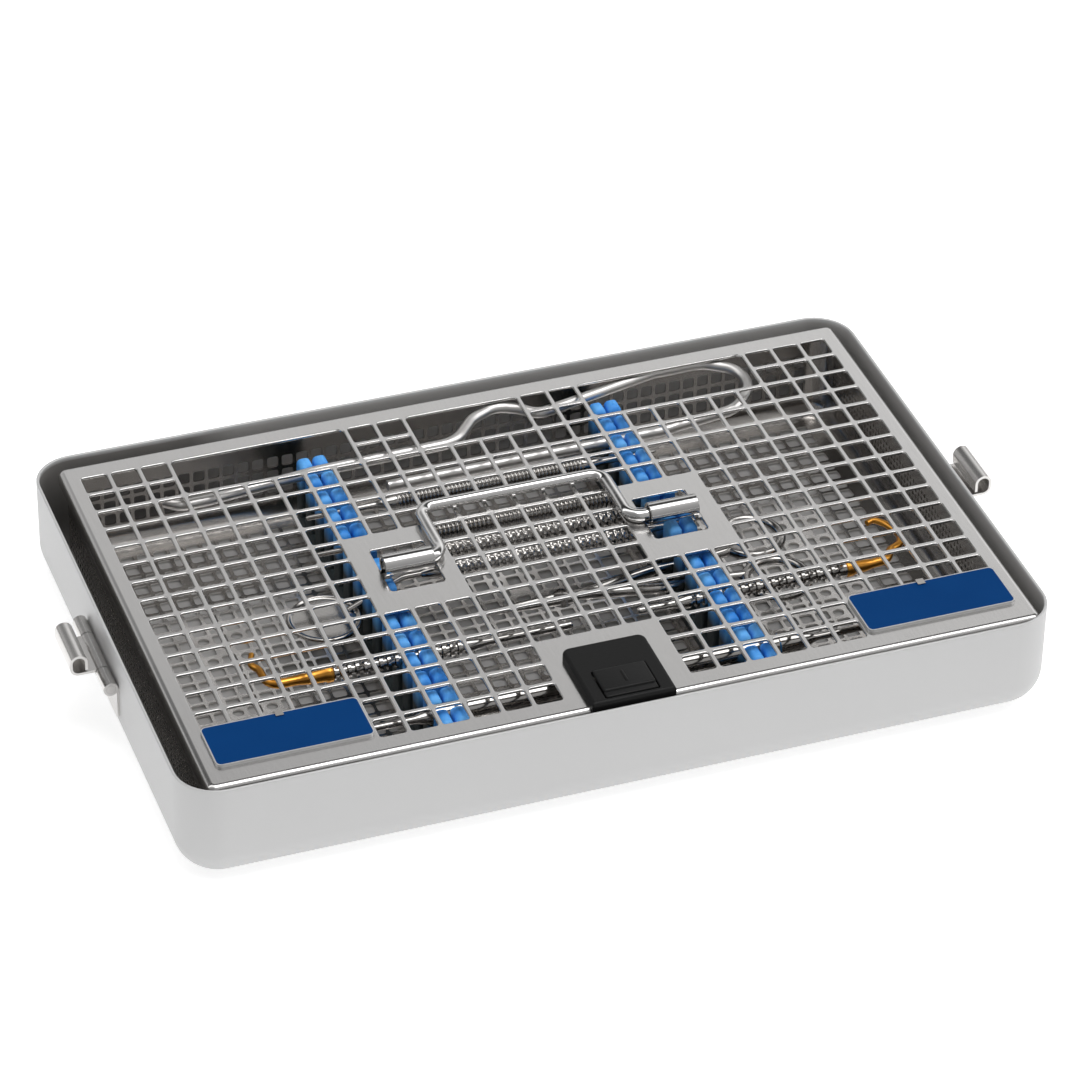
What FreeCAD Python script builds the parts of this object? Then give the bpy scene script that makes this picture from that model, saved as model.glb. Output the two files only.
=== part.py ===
"""Open sterilization container with a loaded, hinged-lid wash tray.

The frame's origin is the middle of the tub's underside, +Z is up, and the front
of the container, where the tray's latch sits, faces -Y. All sizes are millimetres.
Tray pieces are modelled about the tray's own middle and then set into the tub.
"""
import FreeCAD, Part
import math
import os

# Tub
tub_length = 288.0
tub_width = 185.0
tub_height = 36.5
tub_wall = 1.0
tub_corner_radius = 14.0
tub_bottom_radius = 12.0

# Where the tray stands in the tub
tray_shift_x = 1.9
tray_shift_y = -0.8
tray_floor_gap = 0.3
lid_below_rim = 1.0

# Tray lid: a sheet with a square mesh and turned-down edges
lid_gap_x = 5.7
lid_gap_y = 3.2
mesh_pitch = 10.15
mesh_bar = 1.5
lid_margin_x = 5.35
lid_margin_y = 7.1
lid_sheet = 1.0
lid_edge_depth = 4.5
lid_rear_edge_depth = 2.5
lid_bend_radius = 2.0
lid_corner_radius = 3.0

# Basket under the lid
lid_to_basket = 0.3
lid_rest_gap = 0.6
basket_sheet = 0.8
basket_corner_radius = 8.0
basket_bottom_radius = 7.0
floor_pitch = 20.3
floor_bar = 2.4
floor_lip = 1.0
floor_margin_x = 14.2
floor_margin_y = 15.95
wall_slot_width = 7.0
wall_slot_height = 6.0
wall_slot_pitch = 12.0
wall_slot_margin = 28.0
wall_slot_low = 12.0

# Lid hinge at the rear wall
hinge_end_distance = 37.3
hinge_pin_radius = 0.6
hinge_knuckle_radius = 1.2
hinge_pin_clearance = 0.05
hinge_lid_knuckle = 7.0
hinge_basket_knuckle = 4.0
hinge_gap = 0.3
hinge_axis_inset = 0.9
hinge_notch_clearance = 0.5

# Folding wire handle and the rolled eyes that carry it
handle_wire_radius = 2.0
handle_half_span = 31.8
handle_reach = 26.6
handle_bend_radius = 5.0
handle_shift_x = -1.2
handle_lid_gap = 0.4
eye_sheet = 1.0
eye_bore_radius = 2.7
eye_length = 16.5
eye_middle_x = 45.2
eye_window_middle_x = 44.9
eye_window_width = 19.0
eye_window_front = -11.0
eye_window_back = 13.0
eye_neck_width = 5.5
eye_slot = 1.2

# Side clasps
clasp_plate_width = 37.4
clasp_plate_sheet = 0.8
clasp_plate_drop = 12.6
clasp_plate_corner = 3.0
clasp_pin_radius = 1.45
clasp_pin_clearance = 0.05
clasp_pin_below_rim = 11.9
clasp_knuckle_radius = 2.4
clasp_lever_width = 18.6
clasp_lever_sheet = 0.9
clasp_knuckle_gap = 0.3
clasp_grip_inner = 7.3
clasp_grip_outer = 13.1
clasp_grip_rise = 8.1
clasp_grip_lift = 0.6
clasp_strip_lift = 2.3
rivet_radius = 1.25
rivet_head_radius = 2.2
rivet_head_height = 0.8
rivet_spacing = 12.0
rivet_drop = 7.6

# Label plates and their clips
label_length = 50.5
label_depth = 19.5
label_thickness = 1.0
label_corner_radius = 2.0
label_edge_gap_y = 8.9
label_edge_gap_x = 5.3
label_clip_width = 2.6
label_clip_reach = 2.2
label_clip_sheet = 0.5

# Snap latch
latch_middle_x = -0.9
latch_width = 27.7
latch_length = 29.9
latch_height = 2.9
latch_skirt = 1.0
latch_skirt_depth = 4.0
latch_corner_radius = 2.0
latch_edge_radius = 0.7
button_width = 17.3
button_length = 13.4
button_inset = 2.0
button_rise = 0.8
button_thickness = 2.6
button_gap = 0.35
button_step = 2.4
button_lip_drop = 0.6
button_ridge_length = 6.0
button_ridge_width = 0.7
button_ridge_height = 0.3
latch_pin_radius = 0.7
latch_pin_clearance = 0.05
latch_pin_inset = 1.7
latch_pin_below_top = 1.5
latch_pin_bearing = 1.5
latch_arm_width = 8.0
latch_arm_thickness = 2.0
latch_arm_inset = 4.6
latch_arm_reach = 7.0
latch_arm_room = 2.6
hook_width = 7.0
hook_thickness = 1.0
hook_wall_gap = 0.3
catch_clearance = 1.0
spring_wire = 0.25
spring_leg_draw = 0.05
spring_coil_length = 3.0
spring_room = 0.3
spring_back_leg = 5.0
spring_front_leg = 2.5

# Silicone combs and their rails
comb_left_x = -54.6
comb_right_x = 48.3
comb_width = 10.0
comb_end_gap = 11.5
comb_middle_y = -1.5
comb_base_top = 12.0
comb_below_lid = 3.0
comb_row_gap = 0.8
comb_pitch = 10.2
comb_slot_phase = 4.9
comb_slot = 3.6
comb_mouth = 5.2
comb_mouth_depth = 3.0
rail_sheet = 0.8
rail_height = 5.0

# Instruments of the load
tool_below_comb_top = 4.5
tool_end_margin = 3.6
knurled_radius = 3.2
knurled_length = 66.0
tip_radius = 1.3
tool_taper = 7.0
scaler_radius = 2.5
scaler_hook_radius = 1.1
scaler_hook_bend = 3.0
# For each side, distances from the tray's middle: shank's end, ribbed grip from and to, and the tip's start
gold_places = {-1: (2.0, 37.0, 81.6, 95.6), 1: (20.0, 37.0, 91.5, 103.0)}
# The hook's corners, as (outwards, to the rear) of the tip's start
gold_hooks = {-1: [(7.0, 0.0), (7.5, 13.0)], 1: [(6.0, 1.5), (12.0, 9.5), (9.5, 19.5), (4.0, 23.0)]}
mirror_radius = 12.3
mirror_thickness = 1.6
mirror_height = 19.2
mirror_comb_gap = 0.6
mirror_offset = 3.0
retractor_radius = 1.9
retractor_bend = 3.5
retractor_left_reach = 52.4
retractor_right_reach = 47.7
retractor_return_reach = 34.0
bend_steps = 3
scissors_below_tools = 9.0
scissors_ring_radius = 12.0
scissors_ring_width = 3.4
scissors_thickness = 3.4
scissors_ring_reach = 25.5
probe_radius = 3.6

# Sizes that follow from the ones above
lid_length = tub_length - 2 * (tub_wall + lid_gap_x)
lid_width = tub_width - 2 * (tub_wall + lid_gap_y)
mesh_length = lid_length - 2 * lid_margin_x
mesh_width = lid_width - 2 * lid_margin_y
mesh_cells_x = 2 * round(mesh_length / mesh_pitch / 2)
mesh_cells_y = 2 * round(mesh_width / mesh_pitch / 2)
mesh_pitch_x = mesh_length / mesh_cells_x
mesh_pitch_y = mesh_width / mesh_cells_y
lid_top = tub_height - lid_below_rim
lid_under = lid_top - lid_sheet
lid_edge_low = lid_top - lid_edge_depth
basket_length = lid_length - 2 * lid_sheet - 2 * lid_to_basket
basket_width = lid_width - 2 * lid_sheet - 2 * lid_to_basket
basket_low = tub_wall + tray_floor_gap
basket_floor = basket_low + basket_sheet
basket_top = lid_under - lid_rest_gap
floor_length = basket_length - 2 * (basket_bottom_radius + floor_lip)
floor_width = basket_width - 2 * (basket_bottom_radius + floor_lip)
floor_openings_x = round((basket_length - 2 * floor_margin_x) / floor_pitch)
floor_openings_y = round((basket_width - 2 * floor_margin_y) / floor_pitch)
wall_slot_count = round((basket_length - 2 * wall_slot_margin) / wall_slot_pitch)
hinge_spacing = lid_length - 2 * hinge_end_distance
hinge_axis_y = lid_width / 2 - hinge_axis_inset
hinge_axis_z = lid_top - lid_rear_edge_depth
handle_axis_z = lid_top + handle_lid_gap + handle_wire_radius
eye_outer_radius = eye_bore_radius + eye_sheet
label_front = -lid_width / 2 + label_edge_gap_y
label_outer_x = lid_length / 2 - label_edge_gap_x
clasp_pin_height = tub_height - clasp_pin_below_rim
clasp_plate_low = clasp_pin_height - clasp_plate_drop
clasp_grip_top = clasp_pin_height + clasp_grip_rise
clasp_grip_bottom = clasp_pin_height + clasp_grip_lift
clasp_strip_low = clasp_pin_height + clasp_strip_lift
rivet_height = clasp_pin_height - rivet_drop
comb_top = lid_top - comb_below_lid
comb_length = basket_width - 2 * comb_end_gap
rear_slot = math.floor((comb_middle_y + comb_length / 2 - comb_slot_phase - tool_end_margin) / comb_pitch)
front_slot = -math.floor((comb_length / 2 - comb_middle_y + comb_slot_phase - tool_end_margin) / comb_pitch)
handle_tool_height = comb_top - tool_below_comb_top
scissors_height = handle_tool_height - scissors_below_tools
rail_width = comb_width + 2 * rail_sheet
latch_top = lid_top + latch_height
latch_front = -lid_width / 2 - latch_skirt
latch_back = latch_front + latch_length
button_front = latch_front + button_inset
button_back = button_front + button_length
latch_arm_back = -basket_width / 2 + latch_arm_inset
latch_arm_low = lid_top - latch_arm_reach
latch_pin_y = button_back - latch_pin_inset
latch_pin_z = latch_top - latch_pin_below_top
wall_x = tub_length / 2
fuse_overlap = 0.2


def vec(x, y, z):
    return FreeCAD.Vector(x, y, z)


def block(x0, x1, y0, y1, z0, z1):
    """A box between two corners."""
    return Part.makeBox(x1 - x0, y1 - y0, z1 - z0, vec(x0, y0, z0))


def rod_x(x0, x1, y, z, radius):
    """A round bar along X."""
    return Part.makeCylinder(radius, x1 - x0, vec(x0, y, z), vec(1, 0, 0))


def rod_y(y0, y1, x, z, radius):
    """A round bar along Y."""
    return Part.makeCylinder(radius, y1 - y0, vec(x, y0, z), vec(0, 1, 0))


def fuse_all(shapes):
    """One solid from shapes that overlap."""
    result = shapes[0].fuse(shapes[1:]) if len(shapes) > 1 else shapes[0]
    return result.removeSplitter()


def upright_edges(shape):
    """Straight edges that run along Z."""
    found = []
    for edge in shape.Edges:
        if len(edge.Vertexes) == 2 and isinstance(edge.Curve, Part.Line):
            run = edge.Vertexes[1].Point - edge.Vertexes[0].Point
            if abs(run.x) < 1e-6 and abs(run.y) < 1e-6:
                found.append(edge)
    return found


def edges_at_height(shape, z):
    """Every edge that lies in the level plane at z."""
    return [edge for edge in shape.Edges if all(abs(v.Point.z - z) < 1e-6 for v in edge.Vertexes)
            and abs(edge.BoundBox.ZLength) < 1e-6]


def rounded_block(length, width, z0, z1, corner):
    """A block about the Z axis with rounded upright edges."""
    shape = block(-length / 2, length / 2, -width / 2, width / 2, z0, z1)
    return shape.makeFillet(corner, upright_edges(shape))


def pressed_tub(length, width, z0, z1, corner, bottom):
    """A rounded block whose lower edge is rounded as well."""
    shape = rounded_block(length, width, z0, z1, corner)
    return shape.makeFillet(bottom, edges_at_height(shape, z0))


def bent_rod(points, radius, bend):
    """A round bar along straight runs; each turn follows an arc of radius bend in a few short chords."""
    corners = [points[0]]
    start = points[0]
    for here, after in zip(points[1:-1], points[2:]):
        came = (here - start).normalize()
        goes = (after - here).normalize()
        turn = came.getAngle(goes)
        setback = bend * math.tan(turn / 2)
        arc_start = here - came * setback
        arc_end = here + goes * setback
        inward = (goes - came).normalize()
        centre = here + inward * (bend / math.cos(turn / 2))
        steps = max(1, round(bend_steps * turn / (math.pi / 2)))
        spoke_start = arc_start - centre
        spoke_end = arc_end - centre
        reach = bend / math.cos(turn / steps / 2)
        for k in range(steps):
            share = (k + 0.5) / steps
            spoke = spoke_start * math.sin((1 - share) * turn) + spoke_end * math.sin(share * turn)
            corners.append(centre + spoke.normalize() * reach)
        start = arc_end
    corners.append(points[-1])
    profile = Part.Wire(Part.makeCircle(radius, points[0], points[1] - points[0]))
    return Part.makePolygon(corners).makePipeShell([profile], True, False, 1)


def turned(profile, start, direction):
    """A solid of revolution: profile is a list of (distance along, radius) pairs."""
    outline = [vec(profile[0][0], 0, 0)]
    outline += [vec(along, radius, 0) for along, radius in profile]
    outline += [vec(profile[-1][0], 0, 0), vec(profile[0][0], 0, 0)]
    face = Part.Face(Part.makePolygon(outline))
    shape = face.revolve(vec(0, 0, 0), vec(1, 0, 0), 360)
    shape.rotate(vec(0, 0, 0), vec(0, 0, 1), math.degrees(math.atan2(direction.y, direction.x)))
    shape.translate(start)
    return shape


def cell_x(index):
    """Middle of the mesh bar with this index, counted from the left."""
    return (index - mesh_cells_x / 2) * mesh_pitch_x


def cell_y(index):
    """Middle of the mesh bar with this index, counted from the rear."""
    return (mesh_cells_y / 2 - index) * mesh_pitch_y


def tub_shell():
    outside = pressed_tub(tub_length, tub_width, 0, tub_height, tub_corner_radius, tub_bottom_radius)
    inside = pressed_tub(tub_length - 2 * tub_wall, tub_width - 2 * tub_wall, tub_wall, tub_height + 1,
                         tub_corner_radius - tub_wall, tub_bottom_radius - tub_wall)
    shell = outside.cut(inside)
    for side in (-1, 1):
        for y in (-rivet_spacing / 2, rivet_spacing / 2):
            x0 = side * wall_x - 2 * tub_wall
            hole = rod_x(x0, x0 + 4 * tub_wall, y, rivet_height, rivet_radius)
            shell = shell.cut(hole)
    return shell


def clasp_tube(y0, y1, bore_radius):
    """A rolled knuckle about the clasp's pin, on the right-hand wall."""
    middle_x = wall_x + clasp_knuckle_radius + 0.2
    tube = rod_y(y0, y1, middle_x, clasp_pin_height, clasp_knuckle_radius)
    return tube.cut(rod_y(y0 - 1, y1 + 1, middle_x, clasp_pin_height, bore_radius))


def clasp_pin_x():
    return wall_x + clasp_knuckle_radius + 0.2


def clasp_plate():
    """Wall plate with two knuckles, on the right-hand wall."""
    half = clasp_plate_width / 2
    plate = block(wall_x, wall_x + clasp_plate_sheet, -half, half, clasp_plate_low, clasp_pin_height)
    lower = [edge for edge in plate.Edges if abs(edge.BoundBox.XLength - clasp_plate_sheet) < 1e-6
             and edge.BoundBox.YLength < 1e-6 and edge.BoundBox.ZLength < 1e-6
             and abs(edge.BoundBox.ZMin - clasp_plate_low) < 1e-6]
    plate = plate.makeFillet(clasp_plate_corner, lower)
    pieces = [plate]
    inner = clasp_lever_width / 2 + clasp_knuckle_gap
    bore = clasp_pin_radius + clasp_pin_clearance
    for y0, y1 in ((-half, -inner), (inner, half)):
        pieces.append(clasp_tube(y0, y1, bore))
    shape = fuse_all(pieces)
    shape = shape.cut(rod_y(-half - 1, half + 1, clasp_pin_x(), clasp_pin_height, bore))
    relief = rod_y(-inner, inner, clasp_pin_x(), clasp_pin_height, clasp_knuckle_radius + clasp_knuckle_gap)
    shape = shape.cut(relief)
    for y in (-rivet_spacing / 2, rivet_spacing / 2):
        shape = shape.cut(rod_x(wall_x - 1, wall_x + 2 * clasp_plate_sheet, y, rivet_height, rivet_radius))
    return shape


def clasp_pin():
    half = clasp_plate_width / 2
    return rod_y(-half, half, clasp_pin_x(), clasp_pin_height, clasp_pin_radius)


def clasp_lever():
    """Bent sheet lever: knuckle, web, and a closed D-shaped roll as the grip."""
    sheet = clasp_lever_sheet
    half = clasp_lever_width / 2
    x0 = wall_x + clasp_grip_inner
    x1 = wall_x + clasp_grip_outer
    radius = (x1 - x0) / 2
    top_middle = clasp_grip_top - radius
    low_middle = clasp_grip_bottom + radius
    mid_x = (x0 + x1) / 2
    start = vec(clasp_pin_x() + clasp_knuckle_radius - sheet, -half, clasp_grip_bottom)

    def outline(inset):
        """Outline of the D from its lower left, round the outside, to its upper left."""
        low = vec(mid_x, -half, clasp_grip_bottom + inset)
        side_low = vec(x1 - inset, -half, low_middle)
        side_top = vec(x1 - inset, -half, top_middle)
        top = vec(mid_x, -half, clasp_grip_top - inset)
        reach = radius - inset
        turn = reach * math.sqrt(0.5)
        low_arc = Part.Arc(low, vec(mid_x + turn, -half, low_middle - turn), side_low)
        top_arc = Part.Arc(side_top, vec(mid_x + turn, -half, top_middle + turn), top)
        side = Part.LineSegment(side_low, side_top)
        back = vec(x0 + inset, -half, top_middle)
        back_arc = Part.Arc(top, vec(mid_x - turn, -half, top_middle + turn), back)
        return low, [low_arc.toShape(), side.toShape(), top_arc.toShape(), back_arc.toShape()], back

    outer_low, outer_path, outer_back = outline(0)
    inner_low, inner_path, inner_back = outline(sheet)
    strip_out = vec(x0, -half, clasp_strip_low)
    strip_in = vec(x0 + sheet, -half, clasp_strip_low)
    web_in = vec(start.x, -half, clasp_grip_bottom + sheet)
    edges = [Part.LineSegment(start, outer_low).toShape()] + outer_path
    edges.append(Part.LineSegment(outer_back, strip_out).toShape())
    edges.append(Part.LineSegment(strip_out, strip_in).toShape())
    edges.append(Part.LineSegment(strip_in, inner_back).toShape())
    edges += inner_path[::-1]
    edges.append(Part.LineSegment(inner_low, web_in).toShape())
    edges.append(Part.LineSegment(web_in, start).toShape())
    face = Part.Face(Part.Wire(Part.__sortEdges__(edges)))
    grip = face.extrude(vec(0, 2 * half, 0))
    knuckle = clasp_tube(-half, half, clasp_pin_radius + clasp_pin_clearance)
    bore = rod_y(-half - 1, half + 1, clasp_pin_x(), clasp_pin_height, clasp_pin_radius + clasp_pin_clearance)
    return fuse_all([knuckle, grip]).cut(bore)


def clasp_rivets():
    """Two rivets a side, as separate solids in one node."""
    rivets = []
    for side in (-1, 1):
        for y in (-rivet_spacing / 2, rivet_spacing / 2):
            grip = tub_wall + clasp_plate_sheet
            profile = [(0, rivet_head_radius), (rivet_head_height, rivet_head_radius),
                       (rivet_head_height, rivet_radius), (rivet_head_height + grip, rivet_radius),
                       (rivet_head_height + grip, rivet_head_radius),
                       (2 * rivet_head_height + grip, rivet_head_radius)]
            start = vec(side * (wall_x - tub_wall - rivet_head_height), y, rivet_height)
            rivets.append(turned(profile, start, vec(side, 0, 0)))
    return Part.makeCompound(rivets)


def mirrored_x(shape):
    """The same piece on the left-hand wall."""
    return shape.mirror(vec(0, 0, 0), vec(1, 0, 0))


def hinge_spans():
    """For each hinge: its middle, and the X spans of the lid's and the basket's knuckles."""
    spans = []
    for side in (-1, 1):
        middle = side * hinge_spacing / 2
        half = hinge_lid_knuckle / 2
        lid_span = (middle - half, middle + half)
        outer = half + hinge_gap
        basket_spans = ((middle - outer - hinge_basket_knuckle, middle - outer),
                        (middle + outer, middle + outer + hinge_basket_knuckle))
        spans.append((middle, lid_span, basket_spans))
    return spans


def hinge_knuckle(x0, x1):
    tube = rod_x(x0, x1, hinge_axis_y, hinge_axis_z, hinge_knuckle_radius)
    return tube.cut(rod_x(x0 - 1, x1 + 1, hinge_axis_y, hinge_axis_z, hinge_pin_radius + hinge_pin_clearance))


def hinge_bore(middle):
    reach = hinge_lid_knuckle / 2 + hinge_gap + hinge_basket_knuckle + 1
    return rod_x(middle - reach, middle + reach, hinge_axis_y, hinge_axis_z,
                 hinge_pin_radius + hinge_pin_clearance)


def hinge_pins():
    """Both hinge pins, as separate solids in one node."""
    pins = []
    for middle, _, _ in hinge_spans():
        reach = hinge_lid_knuckle / 2 + hinge_gap + hinge_basket_knuckle
        pins.append(rod_x(middle - reach, middle + reach, hinge_axis_y, hinge_axis_z, hinge_pin_radius))
    return Part.makeCompound(pins)


def basket_floor_sheet():
    """Perforated floor, set edge to edge into the drawn frame of the basket."""
    sheet = block(-floor_length / 2, floor_length / 2, -floor_width / 2, floor_width / 2, basket_low, basket_floor)
    cuts = []
    opening = (floor_pitch - floor_bar) / 2
    for i in range(floor_openings_x):
        for j in range(floor_openings_y):
            x = (i - (floor_openings_x - 1) / 2) * floor_pitch
            y = (j - (floor_openings_y - 1) / 2) * floor_pitch
            cuts.append(block(x - opening, x + opening, y - opening, y + opening, 0, basket_floor + 1))
    return sheet.cut(Part.makeCompound(cuts))


def basket():
    """Drawn frame of the basket: four slotted walls and the bend down to the floor."""
    outside = pressed_tub(basket_length, basket_width, basket_low, basket_top,
                          basket_corner_radius, basket_bottom_radius)
    inside = pressed_tub(basket_length - 2 * basket_sheet, basket_width - 2 * basket_sheet, basket_floor,
                         basket_top + 1, basket_corner_radius - basket_sheet,
                         basket_bottom_radius - basket_sheet)
    shell = outside.cut(inside)
    cuts = [block(-floor_length / 2, floor_length / 2, -floor_width / 2, floor_width / 2, 0, basket_floor + 1)]
    half = basket_width / 2
    for i in range(wall_slot_count):
        x = (i - (wall_slot_count - 1) / 2) * wall_slot_pitch
        cuts.append(block(x - wall_slot_width / 2, x + wall_slot_width / 2, -half - 1, half + 1,
                          wall_slot_low, wall_slot_low + wall_slot_height))
    catch_half = hook_width / 2 + catch_clearance
    cuts.append(block(latch_middle_x - catch_half, latch_middle_x + catch_half, -half - 1, -half + 2 * basket_sheet,
                      latch_arm_low - hook_thickness - catch_clearance, latch_arm_low + catch_clearance))
    shell = shell.cut(Part.makeCompound(cuts))
    pieces = [shell]
    for _, _, spans in hinge_spans():
        pieces += [hinge_knuckle(x0, x1) for x0, x1 in spans]
    shell = fuse_all(pieces)
    room = hinge_knuckle_radius + hinge_notch_clearance
    for middle, lid_span, _ in hinge_spans():
        shell = shell.cut(hinge_bore(middle))
        shell = shell.cut(block(lid_span[0] - hinge_gap, lid_span[1] + hinge_gap, hinge_axis_y - room,
                                hinge_axis_y + room, hinge_axis_z - room, basket_top + 1))
    return shell


def window_cells():
    """Mesh areas with no plain cells: (first column, last column, first row, last row)."""
    middle = mesh_cells_x // 2
    across = mesh_cells_y // 2
    rear = [(3, middle - 4, 0, 2), (middle - 2, middle + 2, 0, 2), (middle + 4, mesh_cells_x - 3, 0, 2)]
    eyes = [(middle - 6, middle - 3, across - 2, across + 2), (middle + 3, middle + 6, across - 2, across + 2)]
    latch = [(middle - 2, middle + 2, mesh_cells_y - 3, mesh_cells_y)]
    labels = [(0, 5, mesh_cells_y - 2, mesh_cells_y), (mesh_cells_x - 5, mesh_cells_x, mesh_cells_y - 2, mesh_cells_y)]
    return rear, eyes + latch + labels


def opening_face(x0, x1, y0, y1):
    """Rectangle wire for one opening of the lid's sheet."""
    corners = [vec(x0, y0, lid_under), vec(x1, y0, lid_under), vec(x1, y1, lid_under), vec(x0, y1, lid_under)]
    return Part.makePolygon(corners + corners[:1])


def mesh_sheet():
    """The flat mesh inside the lid's frame: one field, and the four posts between the rear windows."""
    half_bar = mesh_bar / 2
    edge_x = mesh_length / 2 + half_bar
    edge_y = mesh_width / 2 + half_bar
    wires = [opening_face(-edge_x, edge_x, -edge_y, edge_y - mesh_bar)]
    rear, solid = window_cells()
    for first, last, top, bottom in rear:
        wires.append(opening_face(cell_x(first) + half_bar, cell_x(last) - half_bar,
                                  cell_y(bottom) + half_bar, cell_y(top) - half_bar))
    for side in (-1, 1):
        middle = side * eye_window_middle_x
        wires.append(opening_face(middle - eye_window_width / 2, middle + eye_window_width / 2,
                                  eye_window_front, eye_window_back))
    for column in range(mesh_cells_x):
        for row in range(mesh_cells_y):
            taken = any(a <= column < b and c <= row < d for a, b, c, d in rear + solid)
            if not taken:
                wires.append(opening_face(cell_x(column) + half_bar, cell_x(column + 1) - half_bar,
                                          cell_y(row + 1) + half_bar, cell_y(row) - half_bar))
    outer = Part.Face(wires[0])
    holes = [Part.Face(wire) for wire in wires[1:]]
    sheet = outer.cut(Part.makeCompound(holes)).extrude(vec(0, 0, lid_sheet)).cut(arm_slot())
    window_front = cell_y(rear[0][3]) + half_bar
    front = block(-edge_x - 1, edge_x + 1, -edge_y - 1, window_front, lid_under - 1, lid_top + 1)
    return Part.makeCompound(sheet.common(front).Solids + sheet.cut(front).Solids)


def arm_slot():
    """Room for the latch's arm to pass down through the lid."""
    half = latch_arm_width / 2 + button_gap
    return block(latch_middle_x - half, latch_middle_x + half, latch_arm_back - latch_arm_thickness - button_gap,
                 latch_arm_back + latch_arm_room, lid_edge_low, lid_top + 1)


def eye(side):
    """Rolled eye of the wire handle with the neck that joins it to the sheet."""
    middle = side * eye_middle_x
    x0 = middle - eye_length / 2
    x1 = middle + eye_length / 2
    tube = rod_x(x0, x1, 0, handle_axis_z, eye_outer_radius)
    tube = tube.cut(rod_x(x0 - 1, x1 + 1, 0, handle_axis_z, eye_bore_radius))
    slot_z = lid_top + eye_slot / 2
    tube = tube.cut(block(x0 - 1, x1 + 1, -eye_outer_radius - 1, 0, slot_z - eye_slot / 2, slot_z + eye_slot / 2))
    outer_edge = side * (eye_window_middle_x + eye_window_width / 2)
    neck_x = sorted((outer_edge, middle + side * (eye_length / 2 - 1.5)))
    neck = block(neck_x[0], neck_x[1], 1.5 - eye_neck_width, 1.5, lid_under, lid_top)
    return fuse_all([tube, neck])


def lid_frame():
    """The lid's border with its turned-down edges and the knuckles of the rear hinge."""
    outside = rounded_block(lid_length, lid_width, lid_edge_low, lid_top, lid_corner_radius)
    outside = outside.makeFillet(lid_bend_radius, edges_at_height(outside, lid_top))
    inside = rounded_block(lid_length - 2 * lid_sheet, lid_width - 2 * lid_sheet, lid_edge_low - 1, lid_under,
                           lid_corner_radius - lid_sheet)
    inside = inside.makeFillet(lid_bend_radius - lid_sheet, edges_at_height(inside, lid_under))
    edge_x = mesh_length / 2 + mesh_bar / 2
    edge_y = mesh_width / 2 + mesh_bar / 2
    frame = outside.cut(inside)
    frame = frame.cut(block(-edge_x, edge_x, -edge_y, edge_y - mesh_bar, lid_under - 1, lid_top + 1))
    room = hinge_knuckle_radius + hinge_notch_clearance
    for middle, lid_span, spans in hinge_spans():
        for x0, x1 in spans:
            frame = frame.cut(block(x0 - hinge_gap, x1 + hinge_gap, hinge_axis_y - room,
                                    hinge_axis_y + room, lid_edge_low - 1, hinge_axis_z + room))
    corner_x = lid_length / 2 + 1
    frame = frame.cut(block(-corner_x, corner_x, lid_width / 2 - lid_corner_radius, lid_width / 2 + 1,
                            lid_edge_low - 1, hinge_axis_z))
    pieces = [frame]
    pieces += [hinge_knuckle(x0, x1) for _, (x0, x1), _ in hinge_spans()]
    panel = fuse_all(pieces)
    for middle, _, _ in hinge_spans():
        panel = panel.cut(hinge_bore(middle))
    return panel.cut(arm_slot())


def carry_handle():
    x = handle_half_span
    foot = eye_middle_x + eye_length / 2 - 3.0
    points = [vec(-foot, 0, 0), vec(-x, 0, 0), vec(-x, handle_reach, 0),
              vec(x, handle_reach, 0), vec(x, 0, 0), vec(foot, 0, 0)]
    wire = bent_rod(points, handle_wire_radius, handle_bend_radius)
    wire.translate(vec(handle_shift_x, 0, handle_axis_z))
    return wire


def label_plate(side):
    plate = block(-label_length / 2, label_length / 2, 0, label_depth, lid_top, lid_top + label_thickness)
    plate = plate.makeFillet(label_corner_radius, upright_edges(plate))
    plate.translate(vec(side * (label_outer_x - label_length / 2), label_front, 0))
    return plate


def label_clips():
    """Bent tabs over the rear edges of both label plates, as separate solids."""
    clips = []
    back = label_front + label_depth
    for side in (-1, 1):
        x = side * (label_outer_x - label_length / 2)
        foot = block(x - label_clip_width / 2, x + label_clip_width / 2, back, back + label_clip_sheet,
                     lid_top, lid_top + label_thickness + label_clip_sheet)
        lip_z = lid_top + label_thickness
        lip = block(x - label_clip_width / 2, x + label_clip_width / 2, back - label_clip_reach, back,
                    lip_z, lip_z + label_clip_sheet)
        clips.append(fuse_all([foot, lip]))
    return Part.makeCompound(clips)


def latch_spring():
    """Torsion spring on the latch's pin: a close-wound coil with a leg to the rear and one to the front."""
    inner = latch_pin_radius + latch_pin_clearance
    outer = inner + 2 * spring_wire
    x0 = latch_middle_x - spring_coil_length / 2
    x1 = latch_middle_x + spring_coil_length / 2
    coil = rod_x(x0, x1, latch_pin_y, latch_pin_z, outer)
    leg_z = latch_pin_z - inner - spring_wire
    leg_radius = spring_wire - spring_leg_draw
    back = rod_y(latch_pin_y, latch_pin_y + spring_back_leg, x1 - 2 * spring_wire, leg_z, leg_radius)
    front = rod_y(latch_pin_y - spring_front_leg, latch_pin_y, x0 + 2 * spring_wire, leg_z, leg_radius)
    return fuse_all([coil, back, front]).cut(rod_x(x0 - 1, x1 + 1, latch_pin_y, latch_pin_z, inner))


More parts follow.
